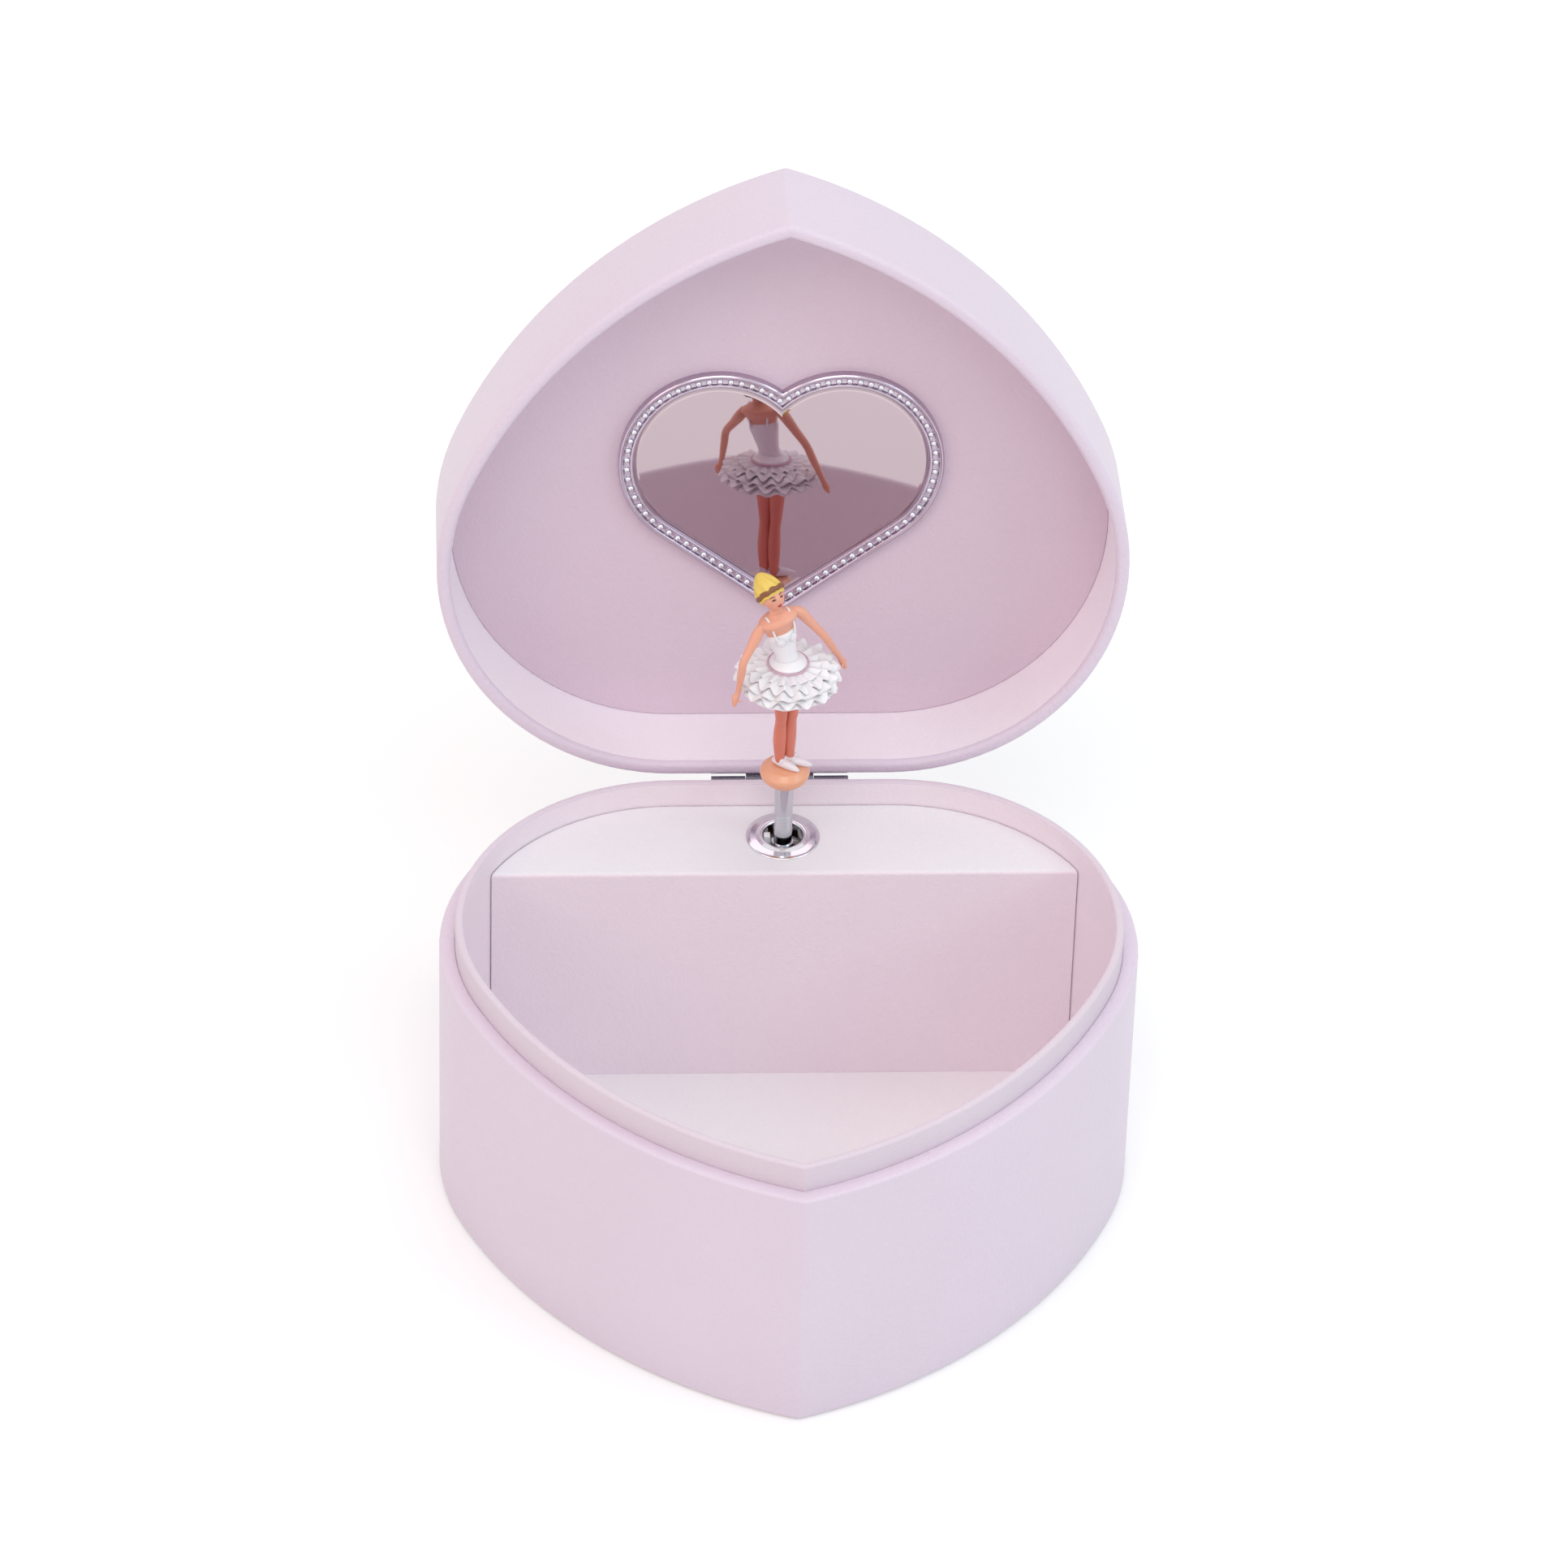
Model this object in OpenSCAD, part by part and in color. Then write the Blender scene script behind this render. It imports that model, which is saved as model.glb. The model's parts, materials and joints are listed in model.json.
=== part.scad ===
/* [Case] */
// Half of the case's width
half_width = 75; // [72:0.5:80]
// Radius of each rounded back corner
lobe_radius = 51.2; // [49:0.2:54]
// Radius of the two long front sides
flank_radius = 115; // [110:1:122]
// Angle where a front side leaves its back corner
flank_angle = 24; // [21:0.5:27]
// Height of the outer wall's top edge
wall_top = 62; // [60:0.5:68]
// Thickness of the outer wall
wall = 3.4; // [3:0.1:4]
// Thickness of the inner collar
collar = 1.8; // [1.4:0.1:2.4]
// Rise of the collar above the outer wall
collar_rise = 6.4; // [4:0.2:9]
// Thickness of the paper under the base
base_paper = 0.6; // [0.4:0.1:1.2]
// Thickness of the bottom board
bottom_thick = 3.6; // [2.6:0.1:4]
// Thickness of the floor lining
floor_thick = 1; // [0.6:0.1:1.4]

/* [Movement cover] */
// Drop from the collar's top to the cover's top
cover_drop = 6; // [5:0.2:8]
// Thickness of the cover's top board
cover_thick = 2.4; // [1.8:0.1:3]
// Depth of the cover from its front edge to the collar
cover_depth = 23.4; // [22:0.2:28]
// Gap at each end of the cover's front panel
panel_gap = 0.4; // [0.2:0.1:0.8]
// Outer diameter of the grommet's flange
grommet_wide = 16.2; // [14:0.2:18]
// Bore of the grommet
grommet_bore = 8.8; // [8.4:0.1:9.6]

/* [Lid] */
// Angle at which the lid stands open
lid_open = 98; // [90:1:105]
// Outer height of the lid
lid_height = 28.6; // [27:0.2:32]
// Thickness of the lid's wall
lid_wall_thick = 3; // [2.6:0.1:3.2]
// Thickness of the lid's top board
lid_top_thick = 3; // [2:0.2:3.4]
// Depth of the space inside the lid
lid_depth = 21.2; // [21:0.2:22.4]
// Gap between the closed lid's edge and the wall
lid_gap = 0.3; // [0.2:0.05:0.6]

/* [Hinge] */
// Length of the hinge
hinge_length = 30; // [26:1:40]
// Length of its middle knuckle
hinge_middle = 14.8; // [12:0.4:18]
// Radius of the knuckles
knuckle = 1.9; // [1.6:0.05:2.1]
// Radius of the hinge pin
hinge_pin_r = 0.8; // [0.6:0.05:1]
// Distance from the back wall to the hinge axis
hinge_back = 2.3; // [2.2:0.05:2.8]
// Height of each hinge leaf
leaf_height = 10; // [8:0.5:13]

/* [Mirror] */
// Radius of each lobe of the heart
heart_radius = 22; // [20:0.5:23]
// Sideways offset of each lobe
heart_offset = 13.5; // [12:0.25:15]
// Angle at which the heart's sides leave its lobes
heart_angle = 54; // [50:0.5:58]
// Width of the mirror's frame
frame_width = 3.5; // [3:0.1:4.2]
// Thickness of the mirror's frame
frame_thick = 2.2; // [1.6:0.1:2.4]
// Distance from the back of the lid to the heart's tip
heart_tip = 27; // [24:0.5:30]

/* [Figure] */
// Radius of the post and of its bend spring
post = 2; // [1.7:0.05:2.1]
// Height of the bend spring's middle above the cover
pivot_rise = 3.9; // [3.7:0.1:4.2]
// Length of the bend spring
spring_length = 5.6; // [5:0.1:6]
// Wire of the bend spring
spring_wire = 0.4; // [0.35:0.05:0.6]
// Height of the bead's underside above the cover
bead_rise = 16.2; // [15.8:0.1:18]
// Radius of the bead
bead = 5.5; // [4.8:0.1:5.6]
// Height of the bead
bead_tall = 4; // [3.4:0.1:5]
// Length of the legs, from the bead to the tutu
legs_tall = 25.2; // [22:0.2:28]
// Radius of the tutu
tutu = 11.9; // [11:0.1:12.4]
// Waves round the tutu's edge
tutu_folds = 17; // [12:1:20]
// Height from the waist to the shoulders
torso_tall = 13.2; // [11.6:0.2:14.4]
// Angle by which the torso leans to the side
lean = 12; // [0:1:14]
// Reach of the hands from the post's axis
reach = 14.5; // [13.8:0.1:14.8]
// Direction in which the figure looks at rest
figure_turn = 28; // [0:1:90]

/* [Movement] */
// Distance from the collar's back to the drum's axis
arbor_depth = 10.9; // [10.7:0.05:11.4]
// Module of the gears
gear_module = 0.4; // [0.39:0.005:0.405]
// Slack between gear teeth
tooth_slack = 0.1; // [0.08:0.01:0.14]
// Thickness of the bedplate
bed_thick = 2.4; // [2:0.1:2.6]
// Radius of the drum
drum = 6.5; // [6.2:0.1:6.6]
// Height of the drum's pins
pin_height = 0.5; // [0.4:0.05:0.6]
// Gap between the pins and the comb's tips
comb_gap = 0.3; // [0.2:0.05:0.5]
// Radius of the spring barrel
barrel = 12; // [11.4:0.1:12.4]
// Height of the key's axis above the floor lining
key_rise = 15.2; // [14.8:0.1:15.6]
// Running clearance on each shaft's radius
running = 0.05; // [0.03:0.01:0.1]
// Width of the winding key
key_wide = 23; // [18:0.5:28]

/* [Hidden] */
$fn = 48;
far = 400;

// Case levels and plan
board_bottom = base_paper;
lining_bottom = base_paper + bottom_thick;
floor_top = lining_bottom + floor_thick;
collar_top = wall_top + collar_rise;
cover_top_z = collar_top - cover_drop;
cover_under = cover_top_z - cover_thick;
inner_inset = wall + collar;
inner_back = lobe_radius - inner_inset;
cover_front_y = inner_back - cover_depth;
straight = half_width - lobe_radius;
flank_x = (flank_radius - lobe_radius) * cos(flank_angle) - straight;
flank_y = (flank_radius - lobe_radius) * sin(flank_angle);

// Lid levels, in its closed pose
lid_bottom = wall_top + lid_gap;
lid_top_z = lid_bottom + lid_height;
panel_z = lid_bottom + lid_depth;
hinge_y = lobe_radius + hinge_back;
hinge_z = wall_top + lid_gap / 2;
leaf = 0.8;
heart_drop = (heart_radius + heart_offset * cos(heart_angle)) / sin(heart_angle);
heart_y = lobe_radius - lid_wall_thick - heart_tip - heart_drop;

// Movement layout
drum_y = inner_back - arbor_depth;
bed_front = inner_back - bed_thick;
key_z = floor_top + key_rise;
drum_teeth = 38;
pinion_teeth = 10;
first_teeth = 36;
second_teeth = 30;
crown_teeth = 66;
crown_pinion_teeth = 12;
crown_radius = crown_teeth * gear_module / 2;
crown_half = 0.9;
crown_pitch_y = drum_y + crown_pinion_teeth * gear_module / 2;
crown_face = crown_pitch_y + 0.55;
wheel_thick = 1.2;
barrel_front = crown_face + wheel_thick + 0.3;
mesh_z = key_z + crown_radius;
first_x = (drum_teeth + pinion_teeth) * gear_module / 2;
second_x = first_x + (first_teeth + pinion_teeth) * gear_module / 2;
fan_x = second_x + (second_teeth + pinion_teeth) * gear_module / 2;
gear_thick = 1;
first_z = mesh_z + 1.6;
drum_wheel_z = first_z + gear_thick + 0.6;
second_z = drum_wheel_z + 1.8;
drum_z = drum_wheel_z + gear_thick + 0.3;
top_plate_z = cover_under - 5.9;
plate_thick = 1.4;
drum_length = top_plate_z - 1 - drum_z;
governor_z = first_z - 2.3;
shaft = 1;
pivot_r = 0.5;
comb_tip = drum + pin_height + comb_gap;
comb_back = 22;
arbor_r = 1.6;

// Figure levels, upright
pivot_z = cover_top_z + pivot_rise;
spring_low = pivot_z - spring_length / 2;
post_low = pivot_z + spring_length / 2;
bead_low = cover_top_z + bead_rise;
foot_z = bead_low + bead_tall;
hip_z = foot_z + legs_tall;
waist_z = hip_z + 3;

rose = [0.85, 0.78, 0.87];
lilac = [0.89, 0.85, 0.88];
steel = [0.72, 0.73, 0.75];
brass = [0.83, 0.68, 0.36];
skin = [0.96, 0.75, 0.62];
white = [0.96, 0.95, 0.95];

// The case's plan: two rounded back corners, a flat back and two long sides that meet in a blunt point
module case_plan(inset = 0) {
    lobe = lobe_radius - inset;
    flank = flank_radius - inset;
    seam = lobe * sin(flank_angle);
    for (side = [-1, 1])
        translate([side * straight, 0]) circle(lobe, $fn = 120);
    translate([-straight, -seam]) square([2 * straight, lobe + seam]);
    intersection() {
        translate([-flank_x, flank_y]) circle(flank, $fn = 240);
        translate([flank_x, flank_y]) circle(flank, $fn = 240);
        translate([-far / 2, -far - seam]) square([far, far]);
    }
}

module case_ring(outer, inner) {
    difference() {
        case_plan(outer);
        case_plan(inner);
    }
}

// A cylinder along +Y that starts at the point given
module along_y(x, y, z, r, length) {
    translate([x, y, z]) rotate([-90, 0, 0]) cylinder(r = r, h = length);
}

module along_x(x, y, z, r, length) {
    translate([x, y, z]) rotate([0, 90, 0]) cylinder(r = r, h = length);
}

bed_screw_places = [[-21, 9.5], [27, 9.5], [-21, 33], [27, 49]];

module bed_screw_shanks(r, from, to) {
    for (p = bed_screw_places)
        along_y(p[0], from, p[1], r, to - from);
}

module case_wall() {
    color(rose) difference() {
        translate([0, 0, board_bottom]) linear_extrude(wall_top - board_bottom) case_ring(0, wall);
        along_y(0, inner_back, key_z, arbor_r + 1, wall + collar + 1);
        bed_screw_shanks(0.8, inner_back, inner_back + collar + 1.6);
        hinge_screw_shanks(lobe_radius - 2, lobe_radius + 1, -1);
    }
}

module bottom_board() {
    color([0.8, 0.7, 0.55]) translate([0, 0, board_bottom]) linear_extrude(bottom_thick) case_plan(wall);
}

module base_paper_sheet() {
    color([0.93, 0.92, 0.9]) linear_extrude(base_paper) case_plan(1);
}

module inner_collar() {
    color(lilac) difference() {
        translate([0, 0, floor_top]) linear_extrude(collar_top - floor_top) case_ring(wall, inner_inset);
        along_y(0, inner_back - 1, key_z, arbor_r + 1, wall + collar + 1);
        bed_screw_shanks(0.8, inner_back - 1, inner_back + collar + 1);
    }
}

module floor_lining() {
    color(lilac) translate([0, 0, lining_bottom]) linear_extrude(floor_thick) case_plan(wall);
}

module cover_top() {
    color(lilac) difference() {
        translate([0, 0, cover_under]) linear_extrude(cover_thick) intersection() {
            case_plan(inner_inset);
            translate([-far / 2, cover_front_y]) square([far, far]);
        }
        translate([0, drum_y, cover_under - 1]) cylinder(r = grommet_bore / 2 + 1, h = cover_thick + 2);
    }
}

module cover_front() {
    color(lilac) translate([0, 0, floor_top]) linear_extrude(cover_under - floor_top) intersection() {
        case_plan(inner_inset + panel_gap);
        translate([-far / 2, cover_front_y]) square([far, 2]);
    }
}

grommet_rise = 0.9;

module grommet() {
    bore = grommet_bore / 2;
    out = grommet_wide / 2;
    color([0.82, 0.83, 0.85]) translate([0, drum_y, 0]) rotate_extrude() polygon(concat(
        [
            [bore, cover_under - 0.4],
            [bore + 0.9, cover_under - 0.4],
            [bore + 0.9, cover_top_z],
            [out, cover_top_z],
            [out, cover_top_z + 0.2],
        ],
        [for (a = [0 : 15 : 180])
            let (mid = (out + bore) / 2, half = (out - bore) / 2)
            [mid + half * cos(a), cover_top_z + 0.2 + (grommet_rise - 0.2) * sin(a)]]));
}

// Hinge
hinge_screw_x = hinge_length / 2 - 4;

module hinge_screw_shanks(from, to, side) {
    for (x = [-hinge_screw_x, hinge_screw_x])
        along_y(x, from, hinge_z + side * leaf_height * 0.6, 0.9, to - from);
}

module hinge_leaf(side) {
    translate([-hinge_length / 2, lobe_radius, side > 0 ? hinge_z + knuckle + 0.3 : hinge_z - leaf_height])
        cube([hinge_length, leaf, leaf_height - knuckle - 0.3]);
}

module knuckle_part(x, length, side) {
    along_x(x, hinge_y, hinge_z, knuckle, length);
    translate([x, lobe_radius, side > 0 ? hinge_z : hinge_z - knuckle - 1])
        cube([length, leaf, knuckle + 1]);
}

module hinge_leaf_base() {
    color(steel) difference() {
        union() {
            hinge_leaf(-1);
            for (x = [-hinge_length / 2, hinge_middle / 2 + 0.15])
                knuckle_part(x, (hinge_length - hinge_middle) / 2 - 0.15, -1);
        }
        along_x(-far / 2, hinge_y, hinge_z, hinge_pin_r, far);
        hinge_screw_shanks(lobe_radius - 1, lobe_radius + 2, -1);
    }
}

module hinge_pin() {
    color(steel) along_x(-hinge_length / 2 - 0.3, hinge_y, hinge_z, hinge_pin_r, hinge_length + 0.6);
}

module hinge_screw(side) {
    hinge_screw_shanks(lobe_radius - 2, lobe_radius + leaf, side);
    for (x = [-hinge_screw_x, hinge_screw_x])
        along_y(x, lobe_radius + leaf, hinge_z + side * leaf_height * 0.6, 1.6, 0.5);
}

module hinge_screws_base() {
    color(steel) hinge_screw(-1);
}

// Puts a part that is drawn in the closed lid into the open pose
module opened() {
    translate([0, hinge_y, hinge_z]) rotate([-lid_open, 0, 0]) translate([0, -hinge_y, -hinge_z]) children();
}

module lid_wall() {
    color(rose) opened() difference() {
        translate([0, 0, lid_bottom]) linear_extrude(lid_height - lid_top_thick) case_ring(0, lid_wall_thick);
        hinge_screw_shanks(lobe_radius - 2, lobe_radius + 1, 1);
    }
}

module lid_top() {
    color(rose) opened() translate([0, 0, lid_top_z - lid_top_thick]) linear_extrude(lid_top_thick) case_plan(0);
}

module lid_lining() {
    color([0.8, 0.74, 0.81]) opened() translate([0, 0, panel_z])
        linear_extrude(lid_top_z - lid_top_thick - panel_z) case_plan(lid_wall_thick);
}

module hinge_leaf_lid() {
    color(steel) opened() difference() {
        union() {
            hinge_leaf(1);
            knuckle_part(-hinge_middle / 2, hinge_middle, 1);
        }
        along_x(-far / 2, hinge_y, hinge_z, hinge_pin_r + running, far);
        hinge_screw_shanks(lobe_radius - 1, lobe_radius + 2, 1);
    }
}

module hinge_screws_lid() {
    color(steel) opened() hinge_screw(1);
}

// Heart with its point towards the hinge, drawn as two arcs and two straight sides
function heart_side(inset, side) =
    let (r = heart_radius - inset, top = 180 - acos(heart_offset / r), steps = 28)
    [for (k = [0 : steps])
        let (a = side > 0 ? top - (top + heart_angle) * k / steps : -heart_angle + (top + heart_angle) * k / steps)
        [side * (heart_offset + r * cos(a)), -r * sin(a)]];

function heart_points(inset) =
    concat(heart_side(inset, 1),
        [[0, (heart_radius - inset + heart_offset * cos(heart_angle)) / sin(heart_angle)]],
        [for (p = heart_side(inset, -1)) if (p[0] < -0.01) p]);

module heart(inset) {
    translate([0, heart_y]) polygon(heart_points(inset));
}

module mirror_frame() {
    color(steel) opened() {
        translate([0, 0, panel_z - frame_thick + 0.8]) linear_extrude(frame_thick - 0.8) difference() {
            heart(0);
            heart(frame_width);
        }
        translate([0, 0, panel_z - frame_thick]) linear_extrude(1.2) difference() {
            heart(0);
            heart(0.9);
        }
        translate([0, 0, panel_z - frame_thick]) linear_extrude(1.2) difference() {
            heart(frame_width - 0.8);
            heart(frame_width);
        }
    }
}

module mirror_glass() {
    color([0.7, 0.72, 0.76]) opened() translate([0, 0, panel_z - 1.2]) linear_extrude(1.2) heart(frame_width);
}

// Gears
function involute(r, base) = sqrt(max(0, r * r - base * base)) / base * 180 / PI - acos(min(1, base / r));

function gear_points(teeth, tip, root, phase, steps = 3) =
    let (pitch = teeth * gear_module / 2,
         base = pitch * cos(20),
         half = 90 / teeth - tooth_slack / pitch * 90 / PI,
         count = 2 * steps + 2)
    [for (t = [0 : teeth - 1], k = [0 : count - 1])
        let (s = k <= steps ? k : count - 1 - k,
             r = root + (tip - root) * s / steps,
             turn = half + involute(pitch, base) - involute(max(r, base), base),
             a = 360 * t / teeth + phase + (k <= steps ? -turn : turn))
        r * [cos(a), sin(a)]];

module gear(x, z, teeth, thick, bore, phase, addendum = 0.3) {
    pitch = teeth * gear_module / 2;
    translate([x, drum_y, z]) linear_extrude(thick) difference() {
        polygon(gear_points(teeth, pitch + addendum, pitch - 0.5, phase));
        if (bore > 0) circle(bore, $fn = 32);
    }
}

module lightened_gear(x, z, teeth, bore, phase) {
    pitch = teeth * gear_module / 2;
    translate([x, drum_y, z]) linear_extrude(gear_thick) difference() {
        polygon(gear_points(teeth, pitch + 0.3, pitch - 0.5, phase));
        circle(bore, $fn = 32);
        for (k = [0 : 3])
            rotate(45 + 90 * k) translate([pitch * 0.56, 0]) circle(pitch * 0.22, $fn = 32);
    }
}

module shaft_between(x, low, high, r = shaft) {
    translate([x, drum_y, low]) cylinder(r = pivot_r, h = high - low, $fn = 32);
    translate([x, drum_y, low + plate_thick + 0.2]) cylinder(r = r, h = high - low - 2 * plate_thick - 0.4, $fn = 32);
}

module bearing(x) {
    translate([x, drum_y, 0]) cylinder(r = pivot_r + running, h = far, $fn = 32);
}

module bedplate() {
    color(steel) difference() {
        translate([0, 0, floor_top + 0.8]) linear_extrude(top_plate_z + plate_thick - floor_top - 0.8) intersection() {
            case_plan(inner_inset);
            translate([-25, bed_front]) square([56, bed_thick + 1]);
        }
        along_y(0, bed_front - 1, key_z, barrel + running, bed_thick + 2);
        bed_screw_shanks(0.8, bed_front - 1, inner_back + 1);
    }
}

module bedplate_screws() {
    color(steel) {
        bed_screw_shanks(0.8, bed_front, inner_back + collar + 1.4);
        bed_screw_shanks(1.9, bed_front - 1.1, bed_front);
    }
}

module spring_barrel() {
    color(brass) translate([0, barrel_front, key_z]) rotate([-90, 0, 0]) rotate_extrude() polygon([
        [barrel - 1, 0],
        [barrel, 0],
        [barrel, bed_front - barrel_front - 1],
        [barrel + 1.4, bed_front - barrel_front - 1],
        [barrel + 1.4, bed_front - barrel_front],
        [barrel, bed_front - barrel_front],
        [barrel, inner_back - barrel_front],
        [arbor_r + running, inner_back - barrel_front],
        [arbor_r + running, inner_back - barrel_front - 1.2],
        [barrel - 1, inner_back - barrel_front - 1.2],
    ]);
}

// A flat spiral strip whose outer end touches the barrel
spiral_turns = 8;
function spiral(offset) =
    let (inner = arbor_r + 0.5, outer = barrel - 1 - 0.35, count = spiral_turns * 24)
    [for (k = [0 : count])
        (inner + (outer - inner) * k / count + offset) * [cos(15 * k), sin(15 * k)]];

module mainspring() {
    strip = [for (p = spiral(0.35)) p];
    color([0.45, 0.47, 0.52]) translate([0, barrel_front + 0.6, key_z]) rotate([-90, 0, 0])
        linear_extrude(inner_back - barrel_front - 1.2 - 1.2)
            polygon(concat(strip, [for (k = [len(strip) - 1 : -1 : 0]) spiral(0)[k]]));
}

module lower_bearing() {
    z = key_z + 8.6;
    color(brass) difference() {
        translate([-17.5, drum_y - 2, z]) cube([35, bed_front - drum_y + 2, plate_thick]);
        translate([-15, drum_y + 1.4, z - 1]) cube([30, far, plate_thick + 2]);
        bearing(0);
    }
}

module top_plate() {
    color(brass) difference() {
        translate([-9, drum_y - 4, top_plate_z]) cube([fan_x + 13, bed_front - drum_y + 4, plate_thick]);
        for (x = [first_x, second_x, fan_x]) bearing(x);
        translate([0, drum_y, top_plate_z - 1]) cylinder(r = shaft + running, h = plate_thick + 2, $fn = 32);
    }
}

module governor_plate() {
    color(brass) difference() {
        translate([crown_pinion_teeth * gear_module / 2 + 5.4, drum_y - 3, governor_z])
            cube([fan_x - 3.8, bed_front - drum_y + 3, plate_thick]);
        for (x = [first_x, second_x, fan_x]) bearing(x);
    }
}

tine_count = 18;
comb_low = drum_z + 0.4;
comb_tall = drum_length - 0.8;

module comb() {
    pitch = comb_tall / tine_count;
    color([0.6, 0.62, 0.66]) translate([0, drum_y + 0.5, 0]) rotate([90, 0, 0]) linear_extrude(1) difference() {
        translate([-comb_back, comb_low]) square([comb_back - comb_tip, comb_tall]);
        for (k = [1 : tine_count - 1])
            translate([-comb_tip - 8 + k * 0.08, comb_low + k * pitch - 0.13]) square([far, 0.26]);
        for (z = [0.25, 0.75])
            translate([-comb_back + 3, comb_low + comb_tall * z]) circle(1.1, $fn = 32);
    }
}

module comb_block() {
    color([0.55, 0.56, 0.58]) difference() {
        translate([-comb_back, drum_y + 0.5, comb_low]) cube([6, bed_front - drum_y - 0.5, comb_tall]);
        for (z = [0.25, 0.75])
            along_y(-comb_back + 3, drum_y, comb_low + comb_tall * z, 1, 6);
    }
}

module comb_screws() {
    color(brass) for (z = [0.25, 0.75]) {
        along_y(-comb_back + 3, drum_y - 0.5, comb_low + comb_tall * z, 1, 6);
        along_y(-comb_back + 3, drum_y - 1.8, comb_low + comb_tall * z, 1.9, 1.3);
    }
}

module key_washer() {
    color(brass) difference() {
        along_y(0, lobe_radius, key_z, 7, 0.8);
        along_y(0, lobe_radius - 1, key_z, arbor_r + 0.8, 3);
    }
}

module winding_arbor() {
    color(steel) {
        along_y(0, crown_face - 0.2, key_z, arbor_r, lobe_radius + 8 - crown_face);
        along_y(0, crown_face - 0.7, key_z, 2.4, 0.5);
    }
}

module winding_key() {
    out = lobe_radius + 1.2;
    color(brass) difference() {
        union() {
            along_y(0, out, key_z, 2.8, 9);
            translate([0, out + 4, key_z - 0.9]) linear_extrude(1.8) difference() {
                union() {
                    for (side = [-1, 1])
                        translate([side * (key_wide / 2 - 6), 8]) circle(6);
                    translate([-key_wide / 2 + 6, 2.4]) square([key_wide - 12, 8]);
                }
                for (side = [-1, 1])
                    translate([side * (key_wide / 2 - 5.4), 8]) circle(2.4);
            }
        }
        along_y(0, out - 1, key_z, arbor_r, lobe_radius + 7.8 - out + 1);
    }
}

// The crown wheel's teeth stand on its face and mesh with the drum's lower pinion
module crown_tooth() {
    low = gear_module * PI / 4 - tooth_slack / 2 + 0.18;
    high = gear_module * PI / 4 - tooth_slack / 2 - 0.1;
    translate([0, 0, crown_radius - crown_half]) linear_extrude(2 * crown_half) polygon([
        [-low, crown_face + 0.2],
        [-high, crown_pitch_y - 0.28],
        [high, crown_pitch_y - 0.28],
        [low, crown_face + 0.2],
    ]);
}

module great_wheel() {
    color(brass) {
        difference() {
            along_y(0, crown_face, key_z, crown_radius + crown_half, wheel_thick);
            along_y(0, crown_face - 1, key_z, arbor_r + running, 4);
            for (a = [0 : 60 : 300])
                translate([0, 0, key_z]) rotate([0, a, 0]) along_y(7, crown_face - 1, 0, 2.4, 4);
        }
        for (k = [0 : crown_teeth - 1])
            translate([0, 0, key_z]) rotate([0, 360 * (k + 0.5) / crown_teeth, 0]) crown_tooth();
    }
}

module drum_arbor() {
    color(steel) {
        translate([0, drum_y, key_z + 8.6]) cylinder(r = pivot_r, h = plate_thick + 0.2, $fn = 32);
        translate([0, drum_y, key_z + 8.8 + plate_thick])
            cylinder(r = shaft, h = cover_under - 1 - key_z - 8.8 - plate_thick, $fn = 32);
        gear(0, mesh_z - 1.1, crown_pinion_teeth, 2.2, 0, 90);
    }
}

module drum_barrel() {
    rows = tine_count;
    color(brass) {
        translate([0, drum_y, drum_z]) rotate_extrude() polygon([
            [shaft, 0],
            [drum, 0],
            [drum, drum_length],
            [shaft, drum_length],
            [shaft, drum_length - 0.8],
            [drum - 0.8, drum_length - 0.8],
            [drum - 0.8, 0.8],
            [shaft, 0.8],
        ]);
        for (k = [0 : rows - 1], n = [0 : 1])
            translate([0, drum_y, comb_low + comb_tall * (k + 0.5) / rows])
                rotate([0, 0, 137.5 * k + 150 * n + 15]) rotate([0, 90, 0])
                    translate([0, 0, drum - 0.4]) cylinder(r = 0.2, h = pin_height + 0.4, $fn = 6);
    }
}

module drum_wheel() {
    color(brass) lightened_gear(0, drum_wheel_z, drum_teeth, shaft, 0);
}

module spindle_hub() {
    color(steel) translate([0, drum_y, 0]) rotate_extrude() polygon([
        [shaft, top_plate_z + plate_thick + 0.4],
        [post + 0.3, top_plate_z + plate_thick + 0.4],
        [post + 0.3, spring_low - 2.2],
        [post, spring_low - 2.2],
        [post, spring_low],
        [0, spring_low],
        [0, cover_under - 1],
        [shaft, cover_under - 1],
    ]);
}

module first_arbor() {
    color(steel) {
        shaft_between(first_x, governor_z, top_plate_z + plate_thick, 0.8);
        gear(first_x, drum_wheel_z, pinion_teeth, gear_thick, 0, 18);
    }
}

module first_wheel() {
    color(brass) lightened_gear(first_x, first_z, first_teeth, 0.8, 0);
}

module second_arbor() {
    color(steel) {
        shaft_between(second_x, governor_z, top_plate_z + plate_thick, 0.8);
        gear(second_x, first_z, pinion_teeth, gear_thick, 0, 18);
    }
}

module second_wheel() {
    color(brass) lightened_gear(second_x, second_z, second_teeth, 0.8, 0);
}

module fan_arbor() {
    color(steel) {
        shaft_between(fan_x, governor_z, top_plate_z + plate_thick, 0.8);
        translate([fan_x, drum_y, top_plate_z + plate_thick]) cylinder(r = pivot_r, h = 0.4, $fn = 32);
        translate([fan_x, drum_y, top_plate_z + plate_thick + 0.2]) cylinder(r = 2.2, h = 0.8);
        gear(fan_x, second_z, pinion_teeth, gear_thick, 0, 18);
    }
}

module fan_blades() {
    low = second_z + gear_thick + 1.6;
    color(brass) difference() {
        union() {
            translate([fan_x - 5.6, drum_y - 0.25, low]) cube([11.2, 0.5, top_plate_z - 1.4 - low]);
            translate([fan_x, drum_y, low]) cylinder(r = 1.4, h = top_plate_z - 1.4 - low, $fn = 32);
        }
        translate([fan_x, drum_y, 0]) cylinder(r = 0.8, h = far, $fn = 32);
    }
}

plunger_travel = 0.9;

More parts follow.
